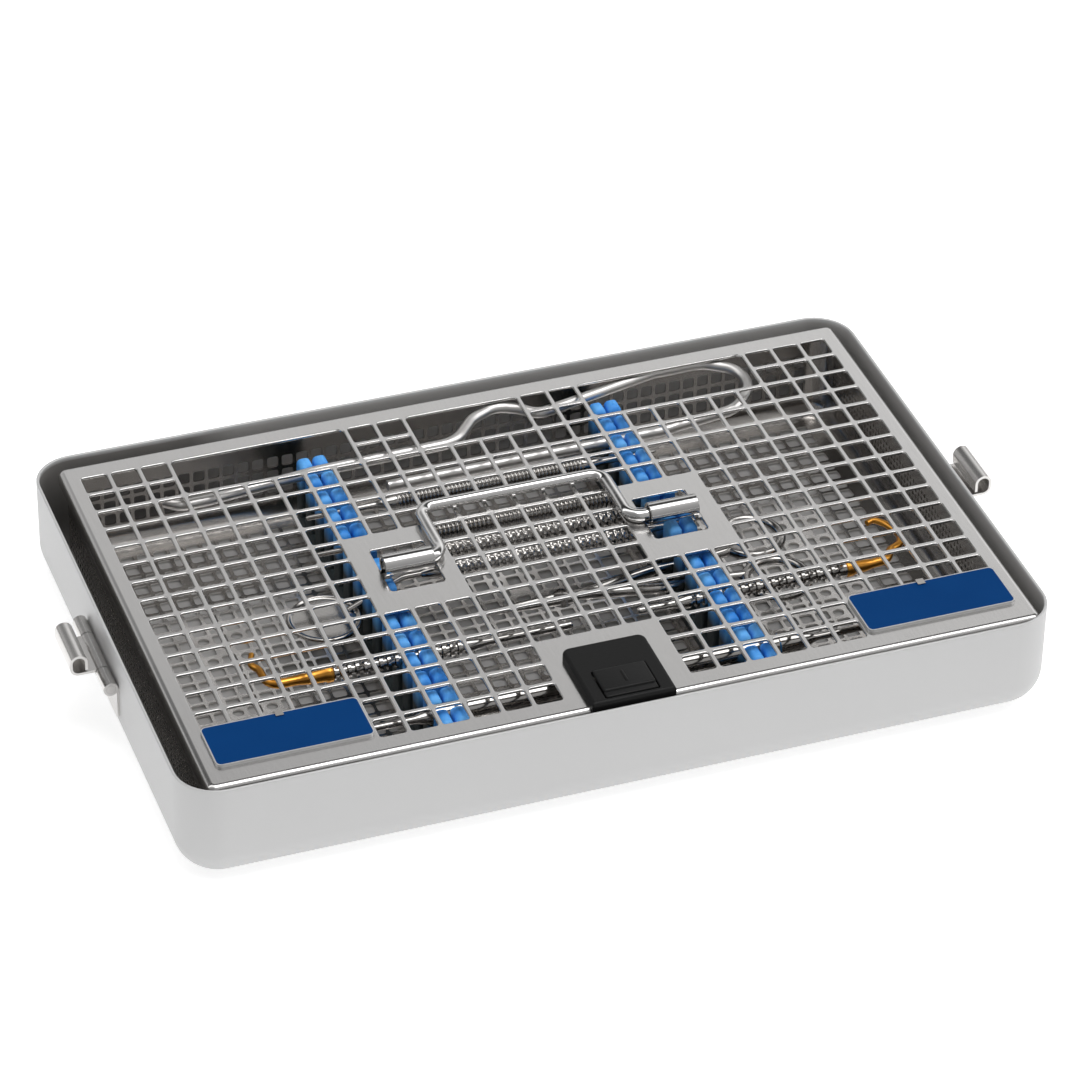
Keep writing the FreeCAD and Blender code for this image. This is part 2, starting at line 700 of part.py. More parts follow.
def latch_housing():
    x0 = latch_middle_x - latch_width / 2
    x1 = latch_middle_x + latch_width / 2
    body = block(x0, x1, latch_front, latch_back, lid_top, latch_top)
    rear = [edge for edge in upright_edges(body) if edge.BoundBox.YMin > latch_back - 1e-3]
    body = body.makeFillet(latch_corner_radius, rear)
    body = body.makeFillet(latch_edge_radius, edges_at_height(body, latch_top))
    skirt = block(x0, x1, latch_front, latch_front + latch_skirt, lid_top - latch_skirt_depth, lid_top + 1)
    well = block(latch_middle_x - button_width / 2 - button_gap, latch_middle_x + button_width / 2 + button_gap,
                 button_front - button_gap, button_back + button_gap, lid_top - 1, latch_top + 1)
    return fuse_all([body, skirt]).cut(well).cut(latch_pin(0)).cut(latch_spring())


def latch_pin(clearance=0):
    reach = button_width / 2 + button_gap + latch_pin_bearing
    return rod_x(latch_middle_x - reach, latch_middle_x + reach, latch_pin_y, latch_pin_z,
                 latch_pin_radius + clearance)


def latch_button():
    """Press pad with a stepped front lip, a centre ridge and the arm that carries the hook."""
    x0 = latch_middle_x - button_width / 2
    x1 = latch_middle_x + button_width / 2
    top = latch_top + button_rise
    low = top - button_thickness
    step_y = button_front + button_step
    lip_y = button_front + button_step / 3
    side_view = [vec(x0, button_back, low), vec(x0, button_back, latch_top), vec(x0, button_back - button_rise, top),
                 vec(x0, step_y + button_rise, top), vec(x0, step_y, top - button_lip_drop),
                 vec(x0, lip_y, top - button_lip_drop), vec(x0, lip_y - 0.2, top - button_lip_drop / 3),
                 vec(x0, button_front, top - button_lip_drop), vec(x0, button_front, low)]
    pad = Part.Face(Part.makePolygon(side_view + side_view[:1])).extrude(vec(x1 - x0, 0, 0))
    arm = block(latch_middle_x - latch_arm_width / 2, latch_middle_x + latch_arm_width / 2,
                latch_arm_back - latch_arm_thickness, latch_arm_back, latch_arm_low, low + fuse_overlap)
    ridge_middle = (button_back - button_rise + step_y + button_rise) / 2
    ridge = block(latch_middle_x - button_ridge_width / 2, latch_middle_x + button_ridge_width / 2,
                  ridge_middle - button_ridge_length / 2, ridge_middle + button_ridge_length / 2,
                  top - fuse_overlap, top + button_ridge_height)
    pad = fuse_all([pad, arm, ridge]).cut(latch_pin(latch_pin_clearance))
    room = latch_pin_radius + latch_pin_clearance + 2 * spring_wire + spring_room
    half = spring_coil_length / 2 + spring_room
    x0 = latch_middle_x - half
    x1 = latch_middle_x + half
    pad = pad.cut(rod_x(x0, x1, latch_pin_y, latch_pin_z, room))
    return pad.cut(block(x0, x1, latch_pin_y - spring_front_leg - spring_room, button_back + 1,
                         low - 1, latch_pin_z - latch_pin_radius))


def latch_hook():
    """Steel catch under the arm; its nose points at the basket's front wall."""
    front = -basket_width / 2 + basket_sheet + hook_wall_gap
    half = hook_width / 2
    return block(latch_middle_x - half, latch_middle_x + half, front, latch_arm_back,
                 latch_arm_low - hook_thickness, latch_arm_low)


def comb_rail(x):
    half = rail_width / 2
    y0 = comb_middle_y - comb_length / 2
    y1 = comb_middle_y + comb_length / 2
    channel = block(x - half, x + half, y0, y1, basket_floor, basket_floor + rail_height)
    return channel.cut(block(x - half + rail_sheet, x + half - rail_sheet, y0 - 1, y1 + 1,
                             basket_floor + rail_sheet, basket_floor + rail_height + 1))


def comb_slot_places():
    """Y of every slot between the teeth."""
    low = comb_middle_y - comb_length / 2
    high = comb_middle_y + comb_length / 2
    first = math.ceil((low - comb_slot_phase + comb_mouth / 2 + 1) / comb_pitch)
    places = []
    y = comb_slot_phase + first * comb_pitch
    while y < high - comb_mouth / 2 - 1:
        places.append(y)
        y += comb_pitch
    return places


def silicone_comb(x, load):
    """Two rows of teeth on a common base, with the load's instruments let in."""
    half = comb_width / 2
    y0 = comb_middle_y - comb_length / 2
    y1 = comb_middle_y + comb_length / 2
    body = block(x - half, x + half, y0, y1, basket_floor + rail_sheet, comb_top)
    cuts = [block(x - comb_row_gap / 2, x + comb_row_gap / 2, y0 - 1, y1 + 1, comb_base_top, comb_top + 1)]
    for y in comb_slot_places():
        outline = [vec(x - half - 1, y - comb_slot / 2, comb_base_top), vec(x - half - 1, y + comb_slot / 2, comb_base_top),
                   vec(x - half - 1, y + comb_slot / 2, comb_top - comb_mouth_depth),
                   vec(x - half - 1, y + comb_mouth / 2, comb_top + 1),
                   vec(x - half - 1, y - comb_mouth / 2, comb_top + 1),
                   vec(x - half - 1, y - comb_slot / 2, comb_top - comb_mouth_depth)]
        cuts.append(Part.Face(Part.makePolygon(outline + outline[:1])).extrude(vec(comb_width + 2, 0, 0)))
    body = body.cut(Part.makeCompound(cuts))
    for piece in load:
        body = body.cut(piece)
    return body


def slot_y(number):
    """Y of a slot, counted from the one nearest the middle; negative is towards the front."""
    return comb_slot_phase + number * comb_pitch


def knurled_tool(number, middle_x, radius, left_tip, right_tip):
    """Hand instrument: a round handle with a thin shank at each end."""
    y = slot_y(number)
    half = knurled_length / 2
    profile = [(-half - left_tip, tip_radius), (-half - tool_taper, tip_radius), (-half, radius),
               (half, radius), (half + tool_taper, tip_radius), (half + right_tip, tip_radius)]
    return turned(profile, vec(middle_x, y, handle_tool_height), vec(1, 0, 0))


def gold_tool(side):
    """Scaler whose ribbed handle lies in a comb; its outer end carries a hooked tip."""
    y = slot_y(front_slot + 3)
    z = handle_tool_height
    shank, grip, grip_end, outer = gold_places[side]
    taper = tool_taper / 2
    profile = [(0, tip_radius), (grip - shank - taper, tip_radius), (grip - shank, scaler_radius),
               (grip_end - shank, scaler_radius), (outer - shank, tip_radius)]
    body = turned(profile, vec(side * shank, y, z), vec(side, 0, 0))
    points = [vec(side * (outer - 3), y, z)]
    points += [vec(side * (outer + along), y + across, z) for along, across in gold_hooks[side]]
    return fuse_all([body, bent_rod(points, scaler_hook_radius, scaler_hook_bend)])


def retractor_bow():
    """Thick bent wire at the rear: a shank, a bow, a long run to a large loop at the right, and its return leg."""
    high = lid_under - 0.5 - retractor_radius
    z = lid_under - 1.6 - retractor_radius
    y = slot_y(rear_slot)
    back = basket_width / 2 - basket_sheet - 0.3 - retractor_radius
    return_y = slot_y(rear_slot - 1)
    left = comb_left_x - retractor_left_reach
    right = comb_right_x + retractor_right_reach
    points = [vec(left, y - 1, z), vec(left + 4, y - 4.6, z), vec(left + 14, y - 4.4, z), vec(comb_left_x, y, z),
              vec(-6, y + 1.4, z), vec(3, y + 11, high), vec(12.5, y + 15.5, high), vec(20, y + 12, high),
              vec(25, y + 6.8, high), vec(44, y + 11.3, high), vec(70, back - 0.4, high), vec(right - 8, back, high),
              vec(right + 2.5, back - 7, high), vec(right + 3.5, y + 1, high - 1),
              vec(right - 5, return_y + 2.5, handle_tool_height + 1.5), vec(comb_right_x + 14, return_y, handle_tool_height),
              vec(-retractor_return_reach, return_y - 1.2, handle_tool_height)]
    return bent_rod(points, retractor_radius, retractor_bend)


def mouth_mirror(number, middle_x, radius, right_tip):
    """Knurled handle whose left stem runs down through the comb to a round mirror that lies level."""
    handle = knurled_tool(number, middle_x, radius, tool_taper + 2, right_tip)
    y = slot_y(number)
    stem_start = middle_x - knurled_length / 2 - tool_taper + 1
    head_x = comb_left_x - comb_width / 2 - mirror_comb_gap - mirror_radius
    stem_end = head_x + 0.7 * mirror_radius
    points = [vec(stem_start, y, handle_tool_height), vec(stem_start - 5, y, handle_tool_height),
              vec(stem_end, y - 1, mirror_height + mirror_thickness / 2)]
    head = Part.makeCylinder(mirror_radius, mirror_thickness, vec(head_x, y - mirror_offset, mirror_height))
    return fuse_all([handle, bent_rod(points, scaler_hook_radius, retractor_bend), head])


def ring_scissors():
    """Closed scissors: two finger rings at the right, blades at the left."""
    z = scissors_height
    half = scissors_thickness / 2
    pivot_x = 4.0
    upper_slot = front_slot + 6
    pivot_y = (slot_y(upper_slot) + slot_y(upper_slot - 1)) / 2
    blades = [vec(pivot_x - 34, pivot_y, z - half), vec(pivot_x - 6, pivot_y - 3, z - half),
              vec(pivot_x + 6, pivot_y - 3, z - half), vec(pivot_x + 6, pivot_y + 3, z - half),
              vec(pivot_x - 6, pivot_y + 3, z - half)]
    shapes = [Part.Face(Part.makePolygon(blades + blades[:1])).extrude(vec(0, 0, scissors_thickness))]
    rings = []
    for number, bow in ((upper_slot, 1), (upper_slot - 1, -1)):
        y = slot_y(number)
        start_y = pivot_y + bow * 1.5
        low = half * 0.8
        ring_x = comb_right_x + scissors_ring_reach
        ring_y = y + bow * (scissors_ring_radius - 5)
        arm = [vec(pivot_x, start_y - low, z - half), vec(comb_right_x - 12, y - low, z - half),
               vec(ring_x - scissors_ring_radius + 1.5, y - low, z - half),
               vec(ring_x - scissors_ring_radius + 1.5, y + low, z - half),
               vec(comb_right_x - 12, y + low, z - half), vec(pivot_x, start_y + low, z - half)]
        shapes.append(Part.Face(Part.makePolygon(arm + arm[:1])).extrude(vec(0, 0, scissors_thickness)))
        outer = Part.makeCylinder(scissors_ring_radius, scissors_thickness, vec(ring_x, ring_y, z - half))
        inner = Part.makeCylinder(scissors_ring_radius - scissors_ring_width, scissors_thickness + 2,
                                  vec(ring_x, ring_y, z - half - 1))
        shapes.append(outer)
        rings.append(inner)
    return fuse_all(shapes).cut(Part.makeCompound(rings))


def front_probe():
    """Long plain instrument in the frontmost slots."""
    y = slot_y(front_slot)
    profile = [(-86, tip_radius), (-58 - tool_taper, tip_radius), (-58, probe_radius), (62, probe_radius),
               (62 + tool_taper, tip_radius), (92, tip_radius)]
    return turned(profile, vec(0, y, handle_tool_height), vec(1, 0, 0))


def in_tray(shape):
    """Set a piece that was modelled about the tray's middle into the tub."""
    moved = shape.copy()
    moved.translate(vec(tray_shift_x, tray_shift_y, 0))
    return moved


load_pieces = {
    "retractor_bow": retractor_bow(),
    "knurled_instrument_1": knurled_tool(rear_slot - 2, -2.0, 2.8, 30.0, 26.0),
    "knurled_instrument_2": knurled_tool(rear_slot - 4, 0.0, 3.2, 35.0, 26.0),
    "knurled_instrument_3": knurled_tool(rear_slot - 5, 0.0, 3.2, 22.0, 16.0),
    "knurled_instrument_4": mouth_mirror(rear_slot - 6, 1.0, 3.0, 22.0),
    "gold_tipped_scaler_left": gold_tool(-1),
    "gold_tipped_scaler_right": gold_tool(1),
    "ring_scissors": ring_scissors(),
    "front_probe": front_probe(),
}
load = list(load_pieces.values())

pieces = {
    "tub_shell": tub_shell(),
    "left_clasp_plate": mirrored_x(clasp_plate()),
    "right_clasp_plate": clasp_plate(),
    "left_clasp_pin": mirrored_x(clasp_pin()),
    "right_clasp_pin": clasp_pin(),
    "clasp_rivets": clasp_rivets(),
    "left_clasp_lever": mirrored_x(clasp_lever()),
    "right_clasp_lever": clasp_lever(),
    "basket": in_tray(basket()),
    "basket_floor": in_tray(basket_floor_sheet()),
    "hinge_pins": in_tray(hinge_pins()),
    "left_comb_rail": in_tray(comb_rail(comb_left_x)),
    "right_comb_rail": in_tray(comb_rail(comb_right_x)),
    "left_silicone_comb": in_tray(silicone_comb(comb_left_x, load)),
    "right_silicone_comb": in_tray(silicone_comb(comb_right_x, load)),
    "lid_panel": in_tray(lid_frame()),
    "lid_mesh": in_tray(mesh_sheet()),
    "left_handle_eye": in_tray(eye(-1)),
    "right_handle_eye": in_tray(eye(1)),
    "left_label_plate": in_tray(label_plate(-1)),
    "right_label_plate": in_tray(label_plate(1)),
    "label_clips": in_tray(label_clips()),
    "latch_housing": in_tray(latch_housing()),
    "latch_pin": in_tray(latch_pin()),
    "latch_spring": in_tray(latch_spring()),
    "latch_button": in_tray(latch_button()),
    "latch_hook": in_tray(latch_hook()),
    "carry_handle": in_tray(carry_handle()),
}
for name, shape in load_pieces.items():
    pieces[name] = in_tray(shape)

os.makedirs("parts", exist_ok=True)
for name, shape in pieces.items():
    shape.exportStep("parts/" + name + ".step")
    print(name, "solids", len(shape.Solids), "volume", round(shape.Volume, 1), "valid", shape.isValid())
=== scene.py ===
"""Visual model of an open sterilization container with a loaded wash tray.

Everything is in metres in the container's own frame: the origin is the middle of the
tub's underside, +Z is up, the latch side faces -Y. Sizes in the script are millimetres
and are turned into metres when a mesh is made.
"""
import bpy
import math
import numpy as np
from mathutils import Matrix, Vector


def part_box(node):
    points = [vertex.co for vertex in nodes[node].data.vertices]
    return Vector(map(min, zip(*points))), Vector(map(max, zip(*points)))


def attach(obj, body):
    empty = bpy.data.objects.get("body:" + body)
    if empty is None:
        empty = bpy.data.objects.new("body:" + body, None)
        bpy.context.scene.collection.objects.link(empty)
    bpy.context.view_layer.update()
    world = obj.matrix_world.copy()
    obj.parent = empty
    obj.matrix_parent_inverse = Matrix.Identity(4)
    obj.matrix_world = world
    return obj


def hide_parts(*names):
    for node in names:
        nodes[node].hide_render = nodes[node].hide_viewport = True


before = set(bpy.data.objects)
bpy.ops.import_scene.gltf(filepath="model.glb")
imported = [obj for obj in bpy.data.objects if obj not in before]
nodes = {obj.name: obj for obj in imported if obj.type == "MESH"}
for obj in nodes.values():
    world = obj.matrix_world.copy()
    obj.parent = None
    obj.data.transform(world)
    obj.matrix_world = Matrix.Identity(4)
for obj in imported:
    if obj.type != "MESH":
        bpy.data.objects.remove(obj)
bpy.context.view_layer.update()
MM = 0.001


def size_of(node):
    """Lowest and highest corner of a CAD node, in millimetres."""
    low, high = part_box(node)
    return np.array(low) / MM, np.array(high) / MM


# Sizes shared with the frame
tub_low, tub_high = size_of("tub_shell")
lid_low, lid_high = size_of("lid_panel")
basket_low, basket_high = size_of("basket")
TUB_HALF = np.array([tub_high[0], tub_high[1]])
TUB_TOP = tub_high[2]
TUB_CORNER = 14.0
TUB_BOTTOM = 12.0
TUB_WALL = 1.0
TRAY_X = (basket_low[0] + basket_high[0]) / 2
LID_HALF_X = (lid_high[0] - lid_low[0]) / 2
LID_TOP = TUB_TOP - 1.0
LID_SHEET = 1.0
LID_UNDER = LID_TOP - LID_SHEET
LID_EDGE_LOW = lid_low[2]
LID_HALF_Y = 88.3
LID_REAR_LOW = 33.0
HINGE_X = 100.0
HINGE_LID_HALF = 3.5
HINGE_GAP = 0.3
HINGE_SIDE = 4.0
HINGE_OUTER = 1.2
HINGE_BORE = 0.65
TRAY_Y = lid_low[1] + LID_HALF_Y
HINGE_Y = TRAY_Y + 87.4
HINGE_Z = LID_REAR_LOW
MESH_PITCH = 10.15
MESH_CELLS = (26, 16)
MESH_BAR = 1.55


# Shader expressions
class Wire:
    """A shader socket that can be added, multiplied and compared in an expression."""

    def __init__(self, paint, socket):
        self.paint = paint
        self.socket = socket

    def _math(self, operation, *values):
        return self.paint.node("ShaderNodeMath", {"operation": operation}, *values)

    def __add__(self, other):
        return self._math("ADD", self, other)

    def __radd__(self, other):
        return self._math("ADD", other, self)

    def __sub__(self, other):
        return self._math("SUBTRACT", self, other)

    def __rsub__(self, other):
        return self._math("SUBTRACT", other, self)

    def __mul__(self, other):
        return self._math("MULTIPLY", self, other)

    def __rmul__(self, other):
        return self._math("MULTIPLY", other, self)

    def __truediv__(self, other):
        return self._math("DIVIDE", self, other)

    def __pow__(self, other):
        return self._math("POWER", self, other)

    def above(self, edge):
        return self._math("GREATER_THAN", self, edge)

    def sine(self):
        return self._math("SINE", self)

    def size(self):
        return self._math("ABSOLUTE", self)

    def least(self, other):
        return self._math("MINIMUM", self, other)

    def most(self, other):
        return self._math("MAXIMUM", self, other)

    def root(self):
        return self._math("SQRT", self)

    def clamped(self):
        return self.paint.node("ShaderNodeClamp", {}, self)


class Paint:
    """A procedural material for one finish."""

    def __init__(self, name, **principled):
        self.material = bpy.data.materials.new(name)
        self.material.use_nodes = True
        self.tree = self.material.node_tree
        self.shader = self.tree.nodes["Principled BSDF"]
        for key, value in principled.items():
            self.shader.inputs[key.replace("_", " ")].default_value = value
        self.coordinates = self.tree.nodes.new("ShaderNodeTexCoord")

    def node(self, kind, settings, *values, output=0, **named):
        made = self.tree.nodes.new(kind)
        for key, value in settings.items():
            setattr(made, key, value)
        pairs = list(zip(range(len(values)), values)) + list(named.items())
        for key, value in pairs:
            socket = made.inputs[key.replace("_", " ") if isinstance(key, str) else key]
            if isinstance(value, Wire):
                self.tree.links.new(value.socket, socket)
            else:
                socket.default_value = value
        return Wire(self, made.outputs[output])

    def place(self):
        return Wire(self, self.coordinates.outputs["Object"])

    def axes(self):
        split = self.tree.nodes.new("ShaderNodeSeparateXYZ")
        self.tree.links.new(self.coordinates.outputs["Object"], split.inputs[0])
        return [Wire(self, split.outputs[i]) for i in range(3)]

    def stretched(self, x, y, z):
        return self.node("ShaderNodeVectorMath", {"operation": "MULTIPLY"}, self.place(), (x, y, z))

    def noise(self, scale, detail=2.0, place=None):
        return self.node("ShaderNodeTexNoise", {}, Vector=place or self.place(), Scale=scale, Detail=detail)

    def mix(self, factor, first, second):
        made = self.tree.nodes.new("ShaderNodeMix")
        made.data_type = "RGBA"
        sockets = [s for s in made.inputs if s.enabled]
        for socket, value in zip(sockets, (factor, first, second)):
            if isinstance(value, Wire):
                self.tree.links.new(value.socket, socket)
            else:
                socket.default_value = value
        return Wire(self, [s for s in made.outputs if s.enabled][0])

    def bump(self, height, distance, strength=1.0):
        return self.node("ShaderNodeBump", {}, Height=height, Distance=distance, Strength=strength)

    def feed(self, **sockets):
        for key, value in sockets.items():
            self.tree.links.new(value.socket, self.shader.inputs[key.replace("_", " ")])
        return self


def grey(value, warm=0.0):
    return (value * (1 + warm), value, value * (1 - warm), 1.0)


def steel(name, tone, rough, warm=0.02, grain=(1, 1, 1), grain_scale=900.0, grain_depth=0.00001, drift=0.12,
          painted_floor_light_tone=None):
    """Satin or polished stainless steel with faint cloudy staining and a fine grain. A tone given for the lowest 3 mm
    takes the place of the colour there: painted light, a floor painted lighter than the walls above it."""
    paint = Paint(name, Metallic=1.0)
    cloud = paint.noise(38.0, 3.0)
    fine = paint.noise(grain_scale, 2.0, paint.stretched(*grain))
    colour = paint.mix(cloud, grey(tone * (1 - drift), warm), grey(tone * (1 + drift), warm * 0.5))
    # Painted light: below 2.5 mm the colour turns to the given lighter tone.
    if painted_floor_light_tone:
        height = ((paint.axes()[2] - 2.5 * MM) * 1000.0).clamped()
        colour = paint.mix(height, grey(painted_floor_light_tone, warm * 0.5), colour)
    roughness = rough + (fine - 0.5) * (0.3 * rough) + (cloud - 0.5) * (0.3 * rough)
    paint.feed(Base_Color=colour, Roughness=roughness, Normal=paint.bump(fine, grain_depth))
    return paint


def tub_paint():
    """Satin anodised aluminium: pale grey with a very fine blasted grain, with painted shade inside the tub, darkest on
    the left wall.
    How deep a point lies below the rounded outside is corner - hypot(past the corner's middle in x, the same in y),
    and where that is less than the bottom bend, bend - hypot(bend - depth, bend - z)."""
    paint = Paint("tub_satin", Metallic=0.25)
    fine = paint.noise(2600.0, 1.0)
    cloud = paint.noise(14.0, 2.0)
    x, y, z = paint.axes()
    corner, bend = TUB_CORNER * MM, TUB_BOTTOM * MM
    across = (x.size() - (TUB_HALF[0] * MM - corner)).most(0.0)
    along = (y.size() - (TUB_HALF[1] * MM - corner)).most(0.0)
    short = (bend - corner + (across * across + along * along).root()).most(0.0)
    under = (bend - z).most(0.0)
    depth = bend - (short * short + under * under).root() - 0.5 * TUB_WALL * MM
    # Painted shade: inside the tub below the rim the colour is darkened, and on the left half of the inside above the
    # floor most of all.
    below_rim = (((TUB_TOP - 0.6) * MM - z) * 900.0).clamped()
    inside = (depth * 20000.0).clamped() * below_rim
    left = ((-0.5 * TUB_HALF[0] * MM - x) * 60.0).clamped() * ((z - 2.0 * MM) * 400.0).clamped()
    inner = paint.mix(left, grey(0.40, 0.02), grey(0.20, 0.04))
    colour = paint.mix(inside, paint.mix(cloud, grey(0.51), grey(0.54)), inner)
    paint.feed(Base_Color=colour, Roughness=0.45 + (fine - 0.5) * 0.12, Normal=paint.bump(fine, 0.000008))
    return paint


def silicone_paint():
    """Soft silicone: bright azure with darker translucent patches and a matte sheen, with painted shade that turns it
    near-black low down.
    """
    paint = Paint("silicone_blue", Specular_IOR_Level=0.3)
    patch = paint.noise(120.0, 3.0)
    fine = paint.noise(1500.0, 1.0)
    contrast = ((patch - 0.36) * 3.2).clamped()
    colour = paint.mix(contrast, (0.032, 0.25, 0.74, 1), (0.16, 0.50, 0.96, 1))
    # Painted shade: below about 21 mm the comb turns near-black, for the shade low between the parts.
    height = ((paint.axes()[2] - 0.021) * 160.0).clamped()
    colour = paint.mix(height, (0.030, 0.042, 0.045, 1), colour)
    paint.feed(Base_Color=colour, Roughness=0.45 + patch * 0.2, Normal=paint.bump(fine, 0.00003))
    return paint


def label_paint(middle_x, middle_y, half_x, half_y, corner):
    """Anodised blue face with a bare pale edge, split by the distance to the rounded outline."""
    paint = Paint("label_face", Specular_IOR_Level=0.03)
    x, y, _ = paint.axes()
    across = ((x - middle_x).size() - (half_x - corner)).most(0.0)
    along = ((y - middle_y).size() - (half_y - corner)).most(0.0)
    inset = corner - (across * across + along * along).root()
    inside = ((inset - 0.00030) * 6000.0).clamped()
    fine = paint.noise(1400.0, 2.0)
    cloud = paint.noise(60.0, 2.0)
    blue = paint.mix(cloud, (0.0012, 0.036, 0.145, 1), (0.0022, 0.044, 0.170, 1))
    colour = paint.mix(inside, grey(0.62), blue)
    paint.feed(Base_Color=colour, Metallic=(1.0 - inside) * 0.9, Roughness=0.42 + fine * 0.16,
               Normal=paint.bump(fine, 0.000015))
    return paint


def latch_paint(name, tone, rough):
    """Moulded black plastic with a fine eroded texture."""
    paint = Paint(name, Specular_IOR_Level=0.13)
    fine = paint.noise(2200.0, 3.0)
    cloud = paint.noise(50.0, 2.0)
    colour = paint.mix(cloud, grey(tone), grey(tone * 1.25))
    paint.feed(Base_Color=colour, Roughness=rough + (fine - 0.5) * 0.2, Normal=paint.bump(fine, 0.00004))
    return paint


def gold_paint():
    """Titanium nitride gold with a slight orange drift."""
    paint = Paint("gold_nitride", Metallic=1.0)
    cloud = paint.noise(90.0, 2.0)
    colour = paint.mix(cloud, (0.58, 0.23, 0.028, 1), (0.84, 0.42, 0.085, 1))
    paint.feed(Base_Color=colour, Roughness=0.24 + cloud * 0.12)
    return paint


tub_satin = tub_paint()
lid_steel = steel("lid_steel", 0.62, 0.20, 0.02, (1, 0.15, 1), 1200.0, drift=0.05)
# Painted shade and light: the basket's steel is painted darker and warmer than the lid's for the shade inside the tray,
# and its floor lighter for the light it catches.
basket_steel = steel("basket_steel", 0.46, 0.20, 0.06, painted_floor_light_tone=0.68)
eye_steel = steel("eye_steel", 0.58, 0.11, 0.015, drift=0.04)
wire_steel = steel("wire_steel", 0.70, 0.09, 0.015, drift=0.05)
satin_steel = steel("satin_steel", 0.66, 0.36, 0.03, drift=0.05)
# Painted shade: the instruments' steel has a darker tone for the shade they lie in under the lid.
tool_steel = steel("tool_steel", 0.40, 0.13, 0.05)
clasp_steel = steel("clasp_steel", 0.62, 0.24, 0.03, (1, 1, 1), 700.0, 0.000003, 0.06)
blue_silicone = silicone_paint()
gold_nitride = gold_paint()
housing_black = latch_paint("housing_black", 0.009, 0.42)
button_black = latch_paint("button_black", 0.011, 0.34)


# Mesh making
class Shell:
    """Vertex and face arrays that are gathered into one mesh."""

    def __init__(self):
        self.points = []
        self.quads = []
        self.fans = []
        self.count = 0

    def grid(self, surface, close_u=False, close_v=False, flip=False):
        """Adds a surface given as an array of points (rows, columns, 3)."""
        rows, columns = surface.shape[:2]
        index = np.arange(rows * columns).reshape(rows, columns) + self.count
        if close_u:
            index = np.vstack([index, index[:1]])
        if close_v:
            index = np.hstack([index, index[:, :1]])
        quads = np.stack([index[:-1, :-1], index[:-1, 1:], index[1:, 1:], index[1:, :-1]], -1).reshape(-1, 4)
        self.points.append(surface.reshape(-1, 3))
        self.quads.append(quads[:, ::-1] if flip else quads)
        self.count += rows * columns
        return self

    def cap(self, ring, flip=False):
        """Closes a ring of points with one face."""
        index = list(range(self.count, self.count + len(ring)))
        self.points.append(np.asarray(ring))
        self.fans.append(index[::-1] if flip else index)
        self.count += len(ring)
        return self

    def tiles(self, corners, outline, heights):
        """Adds one ring surface per tile: outline is (tiles, rings, around, 2), heights one z per ring."""
        tiles, rings, around = outline.shape[:3]
        z = np.broadcast_to(np.asarray(heights)[None, :, None, None], (tiles, rings, around, 1))
        points = np.concatenate([outline, z], -1).reshape(tiles, rings * around, 3)
        a = np.arange(around)
        b = np.roll(a, -1)
        one = np.concatenate([np.stack([r * around + a, r * around + b, (r + 1) * around + b, (r + 1) * around + a], -1)
                              for r in range(rings - 1)])
        all_quads = (one[None] + (np.arange(tiles) * rings * around)[:, None, None]).reshape(-1, 4) + self.count
        self.points.append(points.reshape(-1, 3))
        self.quads.append(all_quads)
        self.count += tiles * rings * around
        return self

    def make(self, name, material, body, slot, replaced=(), smooth=32.0, merge=0.002, bevel=0.0):
        points = np.concatenate(self.points) * MM
        faces = [face for part in self.quads for face in part.tolist()] + self.fans
        mesh = bpy.data.meshes.new(name)
        mesh.from_pydata(points.tolist(), [], faces)
        piece = bpy.data.objects.new(name, mesh)
        bpy.context.scene.collection.objects.link(piece)
        if merge:
            import bmesh
            work = bmesh.new()
            work.from_mesh(mesh)
            bmesh.ops.remove_doubles(work, verts=work.verts, dist=merge * MM)
            work.to_mesh(mesh)
            work.free()
        mesh.materials.append(material.material)
        mesh.shade_smooth()
        mesh.set_sharp_from_angle(angle=math.radians(smooth))
        if bevel:
            rounding = piece.modifiers.new("edges", "BEVEL")
            rounding.width = bevel * MM
            rounding.segments = 2
            rounding.limit_method = "ANGLE"
            rounding.angle_limit = math.radians(40)
            rounding.harden_normals = True
        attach(piece, body)
        if replaced:
            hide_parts(*replaced)
        return piece


def arc(start, end, count):
    return np.linspace(math.radians(start), math.radians(end), count)


def rounded_loop(half_x, half_y, corner, per_corner=10):
    """Points round a rectangle with corner arcs, anticlockwise from the right-hand side: centre plus
    corner times (cos, sin) of the angle."""
    parts = []
    for quarter, (sx, sy) in enumerate(((1, 1), (-1, 1), (-1, -1), (1, -1))):
        angle = arc(90 * quarter, 90 * quarter + 90, per_corner)
        parts.append(np.stack([sx * (half_x - corner) + corner * np.cos(angle),
                               sy * (half_y - corner) + corner * np.sin(angle)], -1))
    return np.concatenate(parts)


def pressed_surface(half_x, half_y, rows, middle=(0, 0), per_corner=10, rear=()):
    """A pressed form: each row is (inset, z, corner) and makes one rounded loop at that height. The values of rear
    are x places that get a point of their own on the rear side, right to left, after the first corner's points."""
    surface = []
    for inset, z, corner in rows:
        loop = rounded_loop(half_x - inset, half_y - inset, max(corner, 0.02), per_corner)
        added = np.array([(x, half_y - inset) for x in rear]).reshape(-1, 2)
        loop = np.concatenate([loop[:per_corner], added, loop[per_corner:]]) + np.asarray(middle)
        surface.append(np.concatenate([loop, np.full((len(loop), 1), z)], -1))
    return np.array(surface)


